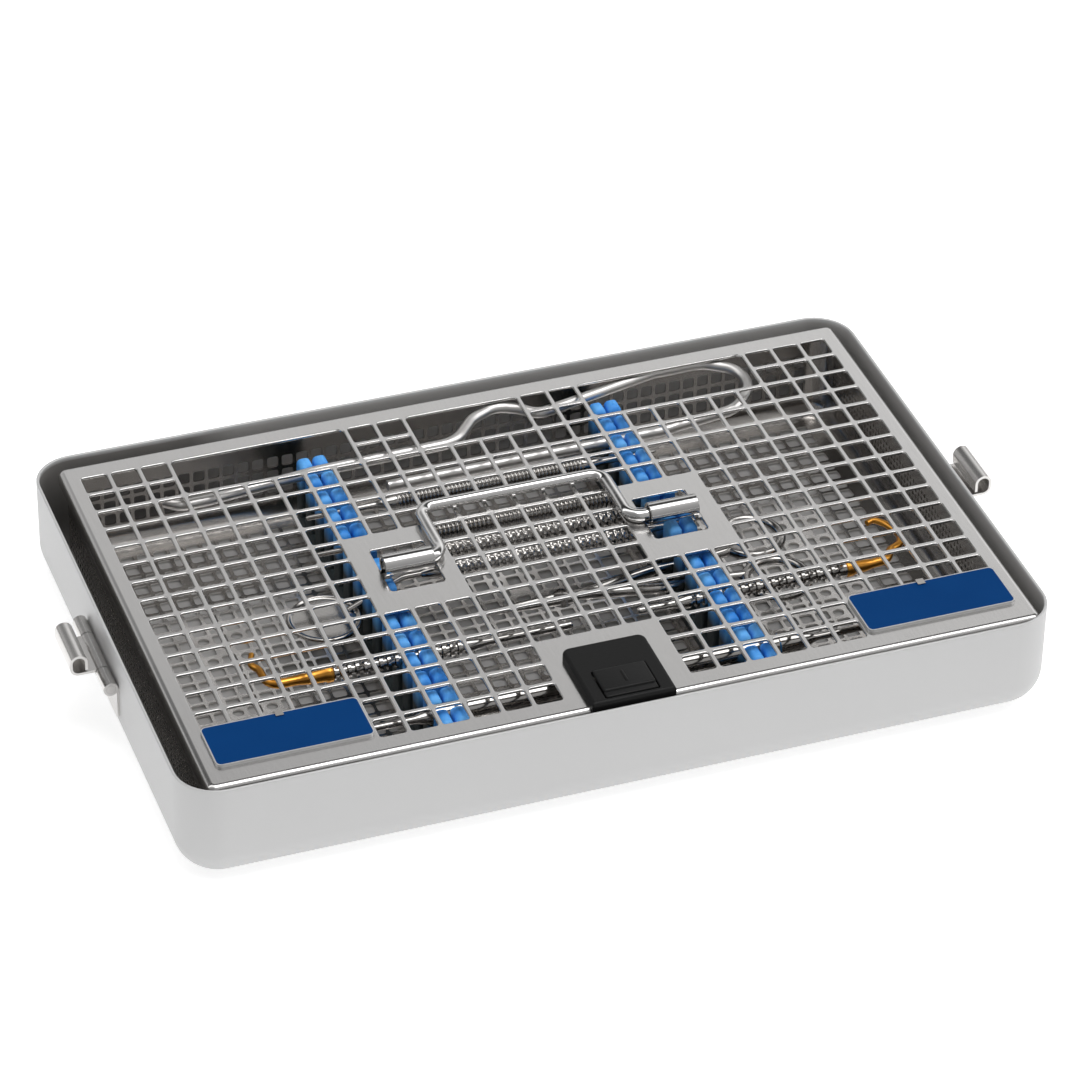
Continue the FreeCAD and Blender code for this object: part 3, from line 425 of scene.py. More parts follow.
def tube(path, radius, around=14, closed=False):
    """A round tube: at each point of the path a circle in the plane across it, carried along without twist."""
    path = np.asarray(path, float)
    ahead = np.roll(path, -1, 0) - path if closed else np.gradient(path, axis=0)
    behind = path - np.roll(path, 1, 0) if closed else ahead
    tangent = ahead + behind
    tangent /= np.linalg.norm(tangent, axis=1)[:, None]
    side = np.cross(tangent[0], (0, 0, 1))
    if np.linalg.norm(side) < 0.1:
        side = np.cross(tangent[0], (0, 1, 0))
    radii = np.broadcast_to(np.asarray(radius, float), (len(path),))
    angle = np.linspace(0, 2 * math.pi, around, endpoint=False)
    rings = []
    for point, direction, reach in zip(path, tangent, radii):
        side = side - direction * side.dot(direction)
        side /= np.linalg.norm(side)
        up = np.cross(side, direction)
        rings.append(point + reach * (np.cos(angle)[:, None] * side + np.sin(angle)[:, None] * up))
    return np.array(rings)


def smooth_path(points, step=1.2, corner=None):
    """A path through straight runs with round corners: each corner is a circular blend of the given radius."""
    points = [np.asarray(p, float) for p in points]
    made = [points[0]]
    for before, here, after in zip(points, points[1:], points[2:]):
        into = (here - before) / np.linalg.norm(here - before)
        out = (after - here) / np.linalg.norm(after - here)
        turn = math.acos(max(-1, min(1, into.dot(out))))
        if turn < 0.02:
            made.append(here)
            continue
        room = 0.48 * min(np.linalg.norm(here - before), np.linalg.norm(after - here))
        radius = min(corner if corner else 1e9, room / math.tan(turn / 2))
        setback = radius * math.tan(turn / 2)
        inward = (out - into) / np.linalg.norm(out - into)
        centre = here + inward * radius / math.cos(turn / 2)
        count = max(3, int(radius * turn / step) + 2)
        start = here - into * setback - centre
        for k in range(count):
            share = k / (count - 1)
            a = math.sin((1 - share) * turn) / math.sin(turn)
            b = math.sin(share * turn) / math.sin(turn)
            end = here + out * setback - centre
            made.append(centre + a * start + b * end)
    made.append(points[-1])
    dense = [made[0]]
    for here in made[1:]:
        gap = np.linalg.norm(here - dense[-1])
        if gap < 1e-6:
            continue
        pieces = max(1, int(gap / 8.0))
        start = dense[-1]
        dense += [start + (here - start) * (k + 1) / pieces for k in range(pieces)]
    return np.array(dense)


def rod_ends(shell, rings, rounding=0.0):
    """Closes both ends of a tube."""
    shell.cap(rings[0], flip=True)
    shell.cap(rings[-1])
    return shell


def lathe_x(profile, start, direction=(1, 0), around=20):
    """A turned form about a level axis: rows of (distance along, radius)."""
    profile = np.asarray(profile, float)
    angle = np.linspace(0, 2 * math.pi, around, endpoint=False)
    dx, dy = np.asarray(direction) / np.linalg.norm(direction)
    along = profile[:, 0][:, None]
    reach = profile[:, 1][:, None]
    x = start[0] + along * dx - reach * np.cos(angle) * dy
    y = start[1] + along * dy + reach * np.cos(angle) * dx
    z = start[2] + reach * np.sin(angle)
    return np.stack([x + 0 * angle, y + 0 * angle, z + 0 * along], -1)


# Tub
def tub_rows():
    """Profile of the tub from the middle of the underside, up the outside, over the rim, down to the inner floor."""
    rows = [(60, 0, 2), (TUB_BOTTOM, 0, TUB_CORNER - TUB_BOTTOM)]
    for angle in arc(0, 90, 10)[1:]:
        inset = TUB_BOTTOM * (1 - math.sin(angle))
        rows.append((inset, TUB_BOTTOM * (1 - math.cos(angle)), TUB_CORNER - inset))
    rim = 0.35
    rows.append((0, TUB_TOP - rim, TUB_CORNER))
    for angle in arc(0, 90, 4)[1:]:
        rows.append((rim * (1 - math.cos(angle)), TUB_TOP - rim * (1 - math.sin(angle)),
                     TUB_CORNER - rim * (1 - math.cos(angle))))
    for angle in arc(90, 0, 4):
        inset = TUB_WALL - rim * (1 - math.cos(angle))
        rows.append((inset, TUB_TOP - rim * (1 - math.sin(angle)), TUB_CORNER - inset))
    inner = TUB_BOTTOM - TUB_WALL
    for angle in arc(90, 0, 10):
        inset = TUB_WALL + inner * (1 - math.sin(angle))
        rows.append((inset, TUB_WALL + inner * (1 - math.cos(angle)), TUB_CORNER - inset))
    rows.append((60, TUB_WALL, 2))
    return rows


tub = pressed_surface(TUB_HALF[0], TUB_HALF[1], tub_rows())
Shell().grid(tub, close_v=True).cap(tub[0], flip=True).cap(tub[-1]).make(
    "tub_body", tub_satin, "container", "tub_aluminium", ["tub_shell"], smooth=50)


# Tray lid
def cell_x(index):
    return TRAY_X + (index - MESH_CELLS[0] / 2) * MESH_PITCH


def cell_y(index):
    return TRAY_Y + (MESH_CELLS[1] / 2 - index) * MESH_PITCH


def square_ring(x0, x1, y0, y1, per_side):
    """Points evenly round a rectangle, anticlockwise from its lower right corner."""
    t = np.linspace(0, 1, per_side, endpoint=False)
    one = np.ones_like(t)
    right = np.stack([x1 * one, y0 + (y1 - y0) * t], -1)
    top = np.stack([x1 + (x0 - x1) * t, y1 * one], -1)
    left = np.stack([x0 * one, y1 + (y0 - y1) * t], -1)
    low = np.stack([x0 + (x1 - x0) * t, y0 * one], -1)
    return np.concatenate([right, top, left, low])


def hole_ring(x0, x1, y0, y1, corner, per_side):
    """A rounded opening sampled to pair with square_ring: arcs at the ends of each side, straight between."""
    half_x, half_y = (x1 - x0) / 2, (y1 - y0) / 2
    middle = ((x0 + x1) / 2, (y0 + y1) / 2)
    per_arc = per_side // 2
    ring = []
    for quarter, (sx, sy) in enumerate(((1, -1), (1, 1), (-1, 1), (-1, -1))):
        angle = arc(-90 + 90 * quarter + 45, -90 + 90 * quarter + 90, per_side - per_arc)
        arc_out = np.stack([middle[0] + sx * (half_x - corner) + corner * np.cos(angle),
                            middle[1] + sy * (half_y - corner) + corner * np.sin(angle)], -1)
        nxt = ((1, 1), (-1, 1), (-1, -1), (1, -1))[quarter]
        angle = arc(90 * quarter, 90 * quarter + 45, per_arc + 1)[:-1]
        arc_in = np.stack([middle[0] + nxt[0] * (half_x - corner) + corner * np.cos(angle),
                           middle[1] + nxt[1] * (half_y - corner) + corner * np.sin(angle)], -1)
        ring.append(np.concatenate([arc_out, arc_in]))
    return np.concatenate(ring)


EDGE_STEPS = arc(0, 90, 4)
# A narrow flat strip beside each rounded edge keeps the flat face's shading flat
HOLD = 0.03


def opening_tile(shell, cells, bar, corner, top, under, rounding=0.32, per_side=6):
    """Punched openings: for each cell (x0, x1, y0, y1) a flat ring, a rounded upper and lower edge and the wall. With
    a rounding of 0 the edges are sharp."""
    outlines = []
    half = bar / 2
    if not rounding:
        for x0, x1, y0, y1 in cells:
            outer = square_ring(x0, x1, y0, y1, per_side)
            hole = hole_ring(x0 + half, x1 - half, y0 + half, y1 - half, corner, per_side)
            outlines.append([outer, hole, hole, outer])
        return shell.tiles(cells, np.array(outlines), [top, top, under, under])
    for x0, x1, y0, y1 in cells:
        outer = square_ring(x0, x1, y0, y1, per_side)
        hold = half - rounding - HOLD
        rows = [outer, hole_ring(x0 + hold, x1 - hold, y0 + hold, y1 - hold, corner + half - hold, per_side)]
        for angle in EDGE_STEPS:
            inset = half - rounding * (1 - math.sin(angle))
            rows.append(hole_ring(x0 + inset, x1 - inset, y0 + inset, y1 - inset, corner + half - inset, per_side))
        rows += rows[:0:-1] + [outer]
        outlines.append(rows)
    drops = [rounding * (1 - math.cos(angle)) for angle in EDGE_STEPS]
    heights = [top, top] + [top - drop for drop in drops] + [under + drop for drop in drops[::-1]] + [under, under]
    shell.tiles(cells, np.array(outlines), heights)
    return shell


SOLID = [(7, 10, 6, 10), (16, 19, 6, 10), (11, 15, 13, 16), (0, 5, 14, 16), (21, 26, 14, 16)]
WINDOWS = [(3, 9, 0, 2), (11, 15, 0, 2), (17, 23, 0, 2)]
EYE_WINDOW_X = 44.9
EYE_WINDOW_W = 19.0
EYE_WINDOW_Y = (-11.0, 13.0)


def flat_patch(shell, x0, x1, y0, y1, top, under):
    """A plain stretch of sheet, upper and lower face."""
    for z, flip in ((top, False), (under, True)):
        patch = np.array([[[x0, y0, z], [x1, y0, z]], [[x0, y1, z], [x1, y1, z]]])
        shell.grid(patch, flip=flip)


lid = Shell()
plain_cells = []
for column in range(MESH_CELLS[0]):
    for row in range(MESH_CELLS[1]):
        if not any(a <= column < b and c <= row < d for a, b, c, d in SOLID + WINDOWS):
            plain_cells.append((cell_x(column), cell_x(column + 1), cell_y(row + 1), cell_y(row)))
opening_tile(lid, plain_cells, MESH_BAR, 0.9, LID_TOP, LID_UNDER)
opening_tile(lid, [(cell_x(a), cell_x(b), cell_y(d), cell_y(c)) for a, b, c, d in WINDOWS], MESH_BAR, 1.6,
             LID_TOP, LID_UNDER, per_side=12)
for side, (a, b, c, d) in zip((-1, 1), SOLID[:2]):
    window = (TRAY_X + side * EYE_WINDOW_X - EYE_WINDOW_W / 2, TRAY_X + side * EYE_WINDOW_X + EYE_WINDOW_W / 2,
              TRAY_Y + EYE_WINDOW_Y[0], TRAY_Y + EYE_WINDOW_Y[1])
    opening_tile(lid, [window], 0.9, 0.9, LID_TOP, LID_UNDER)
    flat_patch(lid, cell_x(a), window[0], cell_y(d), cell_y(c), LID_TOP, LID_UNDER)
    flat_patch(lid, window[1], cell_x(b), cell_y(d), cell_y(c), LID_TOP, LID_UNDER)
    flat_patch(lid, window[0], window[1], cell_y(d), window[2], LID_TOP, LID_UNDER)
    flat_patch(lid, window[0], window[1], window[3], cell_y(c), LID_TOP, LID_UNDER)
for a, b, c, d in SOLID[2:]:
    flat_patch(lid, cell_x(a), cell_x(b), cell_y(d), cell_y(c), LID_TOP, LID_UNDER)


def lid_rows():
    """Profile of the lid's frame, from the mesh outwards over the bend, down the edge and back up inside."""
    bend, corner = 2.0, 3.0
    reach = LID_HALF_X - MESH_CELLS[0] * MESH_PITCH / 2
    rows = [(reach, LID_TOP, 0.0), (bend + HOLD, LID_TOP, 1.0), (bend, LID_TOP, 1.0)]
    for angle in arc(90, 0, 7)[1:]:
        inset = bend * (1 - math.cos(angle))
        rows.append((inset, LID_TOP - bend * (1 - math.sin(angle)), corner - inset))
    rows += [(0, LID_EDGE_LOW, corner), (LID_SHEET, LID_EDGE_LOW, corner - LID_SHEET),
             (LID_SHEET, LID_TOP - bend, corner - LID_SHEET), (bend, LID_UNDER, 1.0), (reach, LID_UNDER, 0.0)]
    return rows


def doubled(places):
    """Each x place twice, right to left, so that a step can stand between the two columns."""
    return sorted([x for x in places for _ in range(2)], reverse=True)


def lid_frame_surface():
    """The lid's frame: its rear edge is shallower than the others and is notched round the basket's knuckles. In a
    notch the outer rows are drawn up to the bend and the inner ones to the sheet's underside."""
    per_corner = 7
    inner_edge = HINGE_LID_HALF
    outer_edge = HINGE_LID_HALF + 2 * HINGE_GAP + HINGE_SIDE
    notches = [(h + s * inner_edge, h + s * outer_edge) for h in (-HINGE_X, HINGE_X) for s in (-1, 1)]
    extra = doubled([x for notch in notches for x in notch])
    rows = lid_rows()
    surface = pressed_surface(LID_HALF_X, LID_HALF_Y, rows, (TRAY_X, TRAY_Y), per_corner, extra)
    half_x, half_y = MESH_CELLS[0] * MESH_PITCH / 2, MESH_CELLS[1] * MESH_PITCH / 2
    inner = pressed_surface(half_x, half_y, [(0, 0, 0.01)], (TRAY_X, TRAY_Y), per_corner, extra)[0]
    for end in (0, -1):
        surface[end, :, :2] = inner[:, :2]
    low = np.isclose(surface[:, :, 2], LID_EDGE_LOW)
    at_rear = surface[:, :, 1] > TRAY_Y + LID_HALF_Y - 2.9
    surface[:, :, 2][low & at_rear] = LID_REAR_LOW
    outer_stop, inner_stop = 5, len(rows) - 2
    lowest = [i for i, row in enumerate(rows) if row[1] == LID_EDGE_LOW]
    for column in range(len(extra)):
        if (column // 2) % 2 == (0 if column % 2 else 1):
            at = per_corner + column
            surface[outer_stop:lowest[0] + 1, at] = surface[outer_stop, at]
            surface[lowest[1]:inner_stop + 1, at] = surface[inner_stop, at]
    return surface


def knuckle(shell, x0, x1):
    """A rolled hinge knuckle: a hollow tube about the hinge's axis with eased ends."""
    rim = 0.15
    profile = [(0, HINGE_BORE), (0, HINGE_OUTER - rim), (rim, HINGE_OUTER), (x1 - x0 - rim, HINGE_OUTER),
               (x1 - x0, HINGE_OUTER - rim), (x1 - x0, HINGE_BORE)]
    shell.grid(lathe_x(profile, (TRAY_X + x0, HINGE_Y, HINGE_Z), around=24), close_u=True, close_v=True)


for hinge in (-HINGE_X, HINGE_X):
    knuckle(lid, hinge - HINGE_LID_HALF, hinge + HINGE_LID_HALF)
lid.grid(lid_frame_surface(), close_v=True, flip=True)
EYE_RADIUS = 3.7
EYE_SHEET = 1.0
EYE_LENGTH = 16.5
EYE_X = 45.2
HANDLE_Z = (size_of("carry_handle")[0][2] + size_of("carry_handle")[1][2]) / 2
HANDLE_WIRE = (size_of("carry_handle")[1][2] - size_of("carry_handle")[0][2]) / 2


def rolled_eye(shell, side):
    """A C-shaped roll: outer and inner arcs about the handle's axis, open low at the front, with rounded lips."""
    start, end = -165, 150
    outer = arc(start, end, 40)
    section = [[EYE_RADIUS * math.sin(a), EYE_RADIUS * math.cos(a)] for a in outer]
    inner_radius = EYE_RADIUS - EYE_SHEET
    section += [[inner_radius * math.sin(a), inner_radius * math.cos(a)] for a in outer[::-1]]
    section = np.array(section)
    x0 = TRAY_X + side * EYE_X - EYE_LENGTH / 2
    rows = []
    for x, shrink in ((x0, 0.12), (x0 + 0.15, 0.0), (x0 + EYE_LENGTH - 0.15, 0.0), (x0 + EYE_LENGTH, 0.12)):
        middle = EYE_RADIUS - EYE_SHEET / 2
        radius = np.linalg.norm(section, axis=1)
        pulled = section * ((radius + np.sign(middle - radius) * shrink) / radius)[:, None]
        rows.append(np.stack([np.full(len(pulled), x), TRAY_Y + pulled[:, 0], HANDLE_Z + pulled[:, 1]], -1))
    rows = np.array(rows)
    shell.grid(rows, close_v=True)
    half = len(outer)
    for row, flip in ((rows[0], True), (rows[-1], False)):
        strip = np.array([row[:half], row[half:][::-1]])
        shell.grid(strip, flip=flip)


def eye_neck(shell, side):
    """The strip of sheet that carries a rolled eye at its outer end."""
    outer = TRAY_X + side * (EYE_WINDOW_X + EYE_WINDOW_W / 2)
    inner = TRAY_X + side * (EYE_X + EYE_LENGTH / 2 - 1.5)
    x0, x1 = min(outer, inner), max(outer, inner)
    y0, y1 = TRAY_Y - 4.0, TRAY_Y + 1.5
    loop = np.array([[x0, y0], [x1, y0], [x1, y1], [x0, y1]])
    rows = np.array([np.column_stack([loop, np.full(4, z)]) for z in (LID_UNDER, LID_TOP)])
    shell.grid(rows, close_v=True).cap(rows[0], flip=True).cap(rows[1])


lid.make("lid_mesh_panel", lid_steel, "tray_lid", "tray_steel", ["lid_panel", "lid_mesh"], smooth=38)
for side, name in ((-1, "left"), (1, "right")):
    eye = Shell()
    rolled_eye(eye, side)
    eye_neck(eye, side)
    eye.make(name + "_rolled_eye", eye_steel, "tray_lid", "tray_steel", [name + "_handle_eye"], smooth=38)


# Wire handle
def handle_path():
    """Feet along X in the eyes, legs to the rear, and the grip bar, with round bends."""
    low, high = size_of("carry_handle")
    x0, x1 = low[0], high[0]
    leg = 31.8
    middle = (x0 + x1) / 2
    back = high[1] - HANDLE_WIRE
    y = TRAY_Y
    return smooth_path([(x0, y, HANDLE_Z), (middle - leg, y, HANDLE_Z), (middle - leg, back, HANDLE_Z),
                        (middle + leg, back, HANDLE_Z), (middle + leg, y, HANDLE_Z), (x1, y, HANDLE_Z)],
                       0.8, 5.0)


handle_rings = tube(handle_path(), HANDLE_WIRE, 20)
rod_ends(Shell().grid(handle_rings, close_v=True, flip=True), handle_rings).make(
    "folding_wire_handle", wire_steel, "handle", "tray_steel", ["carry_handle"])


# Basket
def basket_floor_tiles(shell):
    """Fine perforation of the floor: square openings with rounded corners, some round ones, and plain pads between."""
    pitch = 5.6
    z1 = basket_low[2] + 0.8
    nx, ny = 45, 28
    squares, rounds = [], []
    for i in range(nx):
        for j in range(ny):
            x0 = TRAY_X + (i - nx / 2) * pitch
            y0 = TRAY_Y + (j - ny / 2) * pitch
            cell = (x0, x0 + pitch, y0, y0 + pitch)
            if i % 9 == 4 and j % 7 == 3:
                flat_patch(shell, *cell, z1, basket_low[2])
            elif i % 9 in (3, 5) and j % 7 in (2, 4):
                rounds.append(cell)
            else:
                squares.append(cell)
    opening_tile(shell, squares, 1.0, 0.8, z1, basket_low[2], rounding=0, per_side=3)
    opening_tile(shell, rounds, 1.9, 1.8, z1, basket_low[2], rounding=0, per_side=6)
    return nx * pitch / 2, ny * pitch / 2


def wall_tiles(shell, along, z0, z1, place, pitch, bar, corner):
    """A punched wall: cells along a horizontal run between two heights, laid on the wall by place(s, z, depth)."""
    rows = max(1, int(round((z1 - z0) / pitch)))
    columns = max(1, int(round((along[1] - along[0]) / pitch)))
    s = np.linspace(along[0], along[1], columns + 1)
    z = np.linspace(z0, z1, rows + 1)
    part = Shell()
    cells = [(s[i], s[i + 1], z[j], z[j + 1]) for i in range(columns) for j in range(rows)]
    opening_tile(part, cells, bar, corner, 0.0, -0.8, rounding=0, per_side=3)
    flat = np.concatenate(part.points)
    shell.points.append(place(flat[:, 0], flat[:, 1], flat[:, 2]))
    shell.quads.append(np.concatenate(part.quads) + shell.count)
    shell.count += part.count


def side_band(shell, sign):
    """The plain strip of a short wall between its fine perforation and the band below the rim, both faces."""
    for depth, flip in ((0.8, sign > 0), (0.0, sign < 0)):
        x = TRAY_X + sign * (half_bx - depth)
        strip = np.array([[[x, TRAY_Y + y, z] for y in (-straight_y, straight_y)] for z in (SIDE_HOLES_TOP, WALL_HOLES[1])])
        shell.grid(strip, flip=flip)


basket = Shell()
floor_half_x, floor_half_y = basket_floor_tiles(basket)
half_bx = (basket_high[0] - basket_low[0]) / 2
BASKET_HALF_Y = 87.0
BASKET_CORNER = 8.0
BASKET_BOTTOM = 7.0
WALL_HOLES = (basket_low[2] + BASKET_BOTTOM + 1.5, 26.0)
SIDE_HOLES_TOP = 24.0


def basket_rows():
    """Lower part of the pressing: flat edge of the floor, bottom bend, up to where the wall's openings start."""
    rows = [(half_bx - floor_half_x, basket_low[2] + 0.8, 0.0), (BASKET_BOTTOM, basket_low[2] + 0.8, 1.0)]
    for angle in arc(0, 90, 7)[1:]:
        inner = BASKET_BOTTOM - 0.8
        inset = 0.8 + inner * (1 - math.sin(angle))
        rows.append((inset, basket_low[2] + 0.8 + inner * (1 - math.cos(angle)), BASKET_CORNER - inset))
    rows.append((0.8, WALL_HOLES[0], BASKET_CORNER - 0.8))
    return rows


def basket_outer_rows():
    rows = [(0.0, WALL_HOLES[0], BASKET_CORNER)]
    for angle in arc(90, 0, 7):
        inset = BASKET_BOTTOM * (1 - math.sin(angle))
        rows.append((inset, basket_low[2] + BASKET_BOTTOM * (1 - math.cos(angle)), BASKET_CORNER - inset))
    rows.append((half_bx - floor_half_x, basket_low[2], 0.0))
    return rows


lower = pressed_surface(half_bx, BASKET_HALF_Y, basket_rows() + basket_outer_rows(), (TRAY_X, TRAY_Y), 7)
floor_loop = rounded_loop(floor_half_x, floor_half_y, 0.01, 7) + (TRAY_X, TRAY_Y)
lower[0, :, :2] = floor_loop
lower[-1, :, :2] = floor_loop
basket.grid(lower, close_v=True)
basket_top_z = 33.9
notch_half = HINGE_LID_HALF + HINGE_GAP
rear_notch = doubled([h + s * notch_half for h in (-HINGE_X, HINGE_X) for s in (-1, 1)])
upper = pressed_surface(half_bx, BASKET_HALF_Y,
                        [(0.8, WALL_HOLES[1], BASKET_CORNER - 0.8), (0.8, basket_top_z, BASKET_CORNER - 0.8),
                         (0.0, basket_top_z, BASKET_CORNER), (0.0, WALL_HOLES[1], BASKET_CORNER)],
                        (TRAY_X, TRAY_Y), 7, rear_notch)
for column in (1, 2, 5, 6):
    upper[1:3, 7 + column, 2] = HINGE_Z - HINGE_OUTER - 0.5
basket.grid(upper, close_u=True, close_v=True)
for hinge in (-HINGE_X, HINGE_X):
    for sign in (-1, 1):
        near = sign * notch_half
        far = sign * (notch_half + HINGE_SIDE)
        knuckle(basket, hinge + min(near, far), hinge + max(near, far))
straight_x = half_bx - BASKET_CORNER
straight_y = BASKET_HALF_Y - BASKET_CORNER
for sign in (-1, 1):
    wall_tiles(basket, (-straight_x, straight_x), *WALL_HOLES,
               lambda s, z, d, sign=sign: np.stack([TRAY_X + s, TRAY_Y + sign * (BASKET_HALF_Y - 0.8 - d), z], -1),
               5.1 if sign > 0 else 5.1, 1.2, 0.8)
    wall_tiles(basket, (-straight_y, straight_y), WALL_HOLES[0], SIDE_HOLES_TOP,
               lambda s, z, d, sign=sign: np.stack([TRAY_X + sign * (half_bx - 0.8 - d), TRAY_Y + s, z], -1),
               2.3, 1.0, 0.5)
    side_band(basket, sign)
corner_rows = pressed_surface(half_bx, BASKET_HALF_Y, [(0.8, WALL_HOLES[0], BASKET_CORNER - 0.8),
                                                       (0.8, WALL_HOLES[1], BASKET_CORNER - 0.8),
                                                       (0.0, WALL_HOLES[1], BASKET_CORNER),
                                                       (0.0, WALL_HOLES[0], BASKET_CORNER)], (TRAY_X, TRAY_Y), 7)
for quarter in range(4):
    basket.grid(corner_rows[:, quarter * 7:(quarter + 1) * 7])
basket.make("perforated_basket", basket_steel, "tray", "tray_steel", ["basket", "basket_floor"], smooth=38)


# Silicone combs
COMB_PITCH = 10.2
COMB_PHASE = 4.9
COMB_SLOT = 3.6
COMB_TOP = LID_TOP - 3.0


def tooth_surface(x_middle, y_middle, half_x, half_y, low, high):
    """One finger of a comb: a rounded block whose plan shrinks over the domed top like a quarter circle."""
    rows = []
    for z, share in [(low, 0.0), (low + 0.55 * (high - low), 0.0)] + [(None, a) for a in arc(0, 88, 7)]:
        dome = 2.4
        if z is None:
            angle = share
            z = high - dome + dome * math.sin(angle)
            inset = min(half_x, half_y) * 0.92 * (1 - math.cos(angle))
        else:
            inset = 0.0
        loop = rounded_loop(half_x - inset, half_y - inset, max(0.9 - 0.3 * inset, 0.15), 4)
        rows.append(np.column_stack([loop + (x_middle, y_middle), np.full(len(loop), z)]))
    return np.array(rows)


def silicone_comb(name, node):
    low, high = size_of(node)
    middle = (low[0] + high[0]) / 2
    comb = Shell()
    base_top = 12.0
    base = pressed_surface((high[0] - low[0]) / 2, (high[1] - low[1]) / 2,
                           [(0, low[2], 0.5), (0, base_top - 0.5, 0.5), (0.5, base_top, 0.3)],
                           (middle, (low[1] + high[1]) / 2), 3)
    comb.grid(base, close_v=True).cap(base[0], flip=True).cap(base[-1])
    first = math.ceil((low[1] - TRAY_Y - COMB_PHASE) / COMB_PITCH)
    edges = [low[1]]
    slot = TRAY_Y + COMB_PHASE + first * COMB_PITCH
    while slot < high[1]:
        if slot - COMB_SLOT / 2 > low[1] + 1 and slot + COMB_SLOT / 2 < high[1] - 1:
            edges += [slot - COMB_SLOT / 2, slot + COMB_SLOT / 2]
        slot += COMB_PITCH
    edges.append(high[1])
    for y0, y1 in zip(edges[::2], edges[1::2]):
        for sign in (-1, 1):
            tooth = tooth_surface(middle + sign * 2.7, (y0 + y1) / 2, 2.3, (y1 - y0) / 2, base_top - 1.0, high[2])
            comb.grid(tooth, close_v=True).cap(tooth[-1])
    comb.make(name, blue_silicone, "tray", "comb_silicone", [node], smooth=50)


silicone_comb("left_comb", "left_silicone_comb")
silicone_comb("right_comb", "right_silicone_comb")


# Instruments
def tool_rows(length, radius, texture, pitch, depth, around=28):
    """A turned handle with a worked surface: radius minus depth times a wave along the handle, crossed by a wave
    round it for a knurl."""
    count = int(length / pitch * 8)
    along = np.linspace(0, length, count)
    angle = np.linspace(0, 2 * math.pi, around, endpoint=False)
    wave = 0.5 - 0.5 * np.cos(2 * math.pi * along / pitch)
    fade = np.clip(np.minimum(along, length - along) / 3.0, 0, 1)
    if texture == "rings":
        cut = np.repeat(wave[:, None], around, 1) ** 0.6
    else:
        turn = 6 * angle[None, :]
        first = np.abs(np.sin(math.pi * along[:, None] / pitch + turn / 2))
        second = np.abs(np.sin(math.pi * along[:, None] / pitch - turn / 2))
        cut = 1 - np.minimum(first, second)
    reach = radius - depth * (1 - cut) * fade[:, None]
    return along, angle, reach


def worked_handle(shell, start, length, radius, texture, pitch, depth):
    along, angle, reach = tool_rows(length, radius, texture, pitch, depth)
    x = start[0] + along[:, None] + 0 * reach
    y = start[1] + reach * np.cos(angle)
    z = start[2] + reach * np.sin(angle)
    shell.grid(np.stack([x, y, z], -1), close_v=True)


def slot_at(number):
    return TRAY_Y + COMB_PHASE + number * COMB_PITCH


TOOL_Z = COMB_TOP + 0.5 - 4.5
LEFT_COMB_X = TRAY_X - 54.6
RIGHT_COMB_X = TRAY_X + 48.3


def knurled_tool(name, node, slot, shift, radius, texture, pitch, depth, mirror=False):
    """Shank, worked handle and shank along X, each section turned about the tool's axis."""
    low, high = size_of(node)
    y, z, half = slot_at(slot), 28.0, 33.0
    middle = TRAY_X + shift
    tool = Shell()
    left_end = middle - half - 8 if mirror else low[0]
    left = lathe_x([(0, 0.3), (0.6, 0.8), (middle - half - 7 - left_end, 1.3), (middle - half - 3 - left_end, 0.8 * radius),
                    (middle - half - left_end, radius)], (left_end, y, z))
    right_length = high[0] - middle - half
    right = lathe_x([(0, radius), (3, 0.8 * radius), (7, 1.3), (right_length - 0.6, 0.8), (right_length, 0.3)],
                    (middle + half, y, z))
    tool.grid(left, close_v=True).cap(left[0], flip=True)
    tool.grid(right, close_v=True).cap(right[-1])
    worked_handle(tool, (middle - half, y, z), 2 * half, radius, texture, pitch, depth)
    if mirror:
        mirror_head(tool, left_end, y, z)
    tool.make(name, tool_steel, "tray", "instrument_steel", [node], smooth=60, merge=0)


def mirror_head(tool, stem_x, y, z):
    """Bent stem down to a round dental mirror: a rolled rim round a slightly sunken face."""
    reach, thick = 12.3, 1.6
    head_x = LEFT_COMB_X - 5.0 - 0.6 - reach
    head_y = y - 3.0
    low = 19.2
    stem = smooth_path([(stem_x + 1, y, z), (stem_x - 5, y, z), (head_x + 0.7 * reach, y - 1, low + thick / 2)], 0.9, 6.0)
    rings = tube(stem, 1.1, 14)
    rod_ends(tool.grid(rings, close_v=True, flip=True), rings)
    rows = [(reach - 0.5, 0.0), (reach - 0.1, 0.25), (reach, 0.8), (reach - 0.15, 1.3), (reach - 0.5, thick),
            (reach - 1.0, thick - 0.1), (reach - 1.3, thick - 0.5), (reach - 2.2, thick - 0.6)]
    angle = np.linspace(0, 2 * math.pi, 48, endpoint=False)
    disc = np.array([np.stack([head_x + r * np.cos(angle), head_y + r * np.sin(angle), 0 * angle + low + h], -1)
                     for r, h in rows])
    tool.grid(disc, close_v=True).cap(disc[0], flip=True).cap(disc[-1])


knurled_tool("scaler_rear", "knurled_instrument_1", 4, -2.0, 2.8, "rings", 1.3, 0.6)
knurled_tool("scaler_second", "knurled_instrument_2", 2, 0.0, 3.2, "rings", 1.5, 0.6)
knurled_tool("scaler_third", "knurled_instrument_3", 1, 0.0, 3.2, "knurl", 2.6, 0.9)
knurled_tool("mouth_mirror", "knurled_instrument_4", 0, 1.0, 3.0, "knurl", 2.4, 0.8, mirror=True)


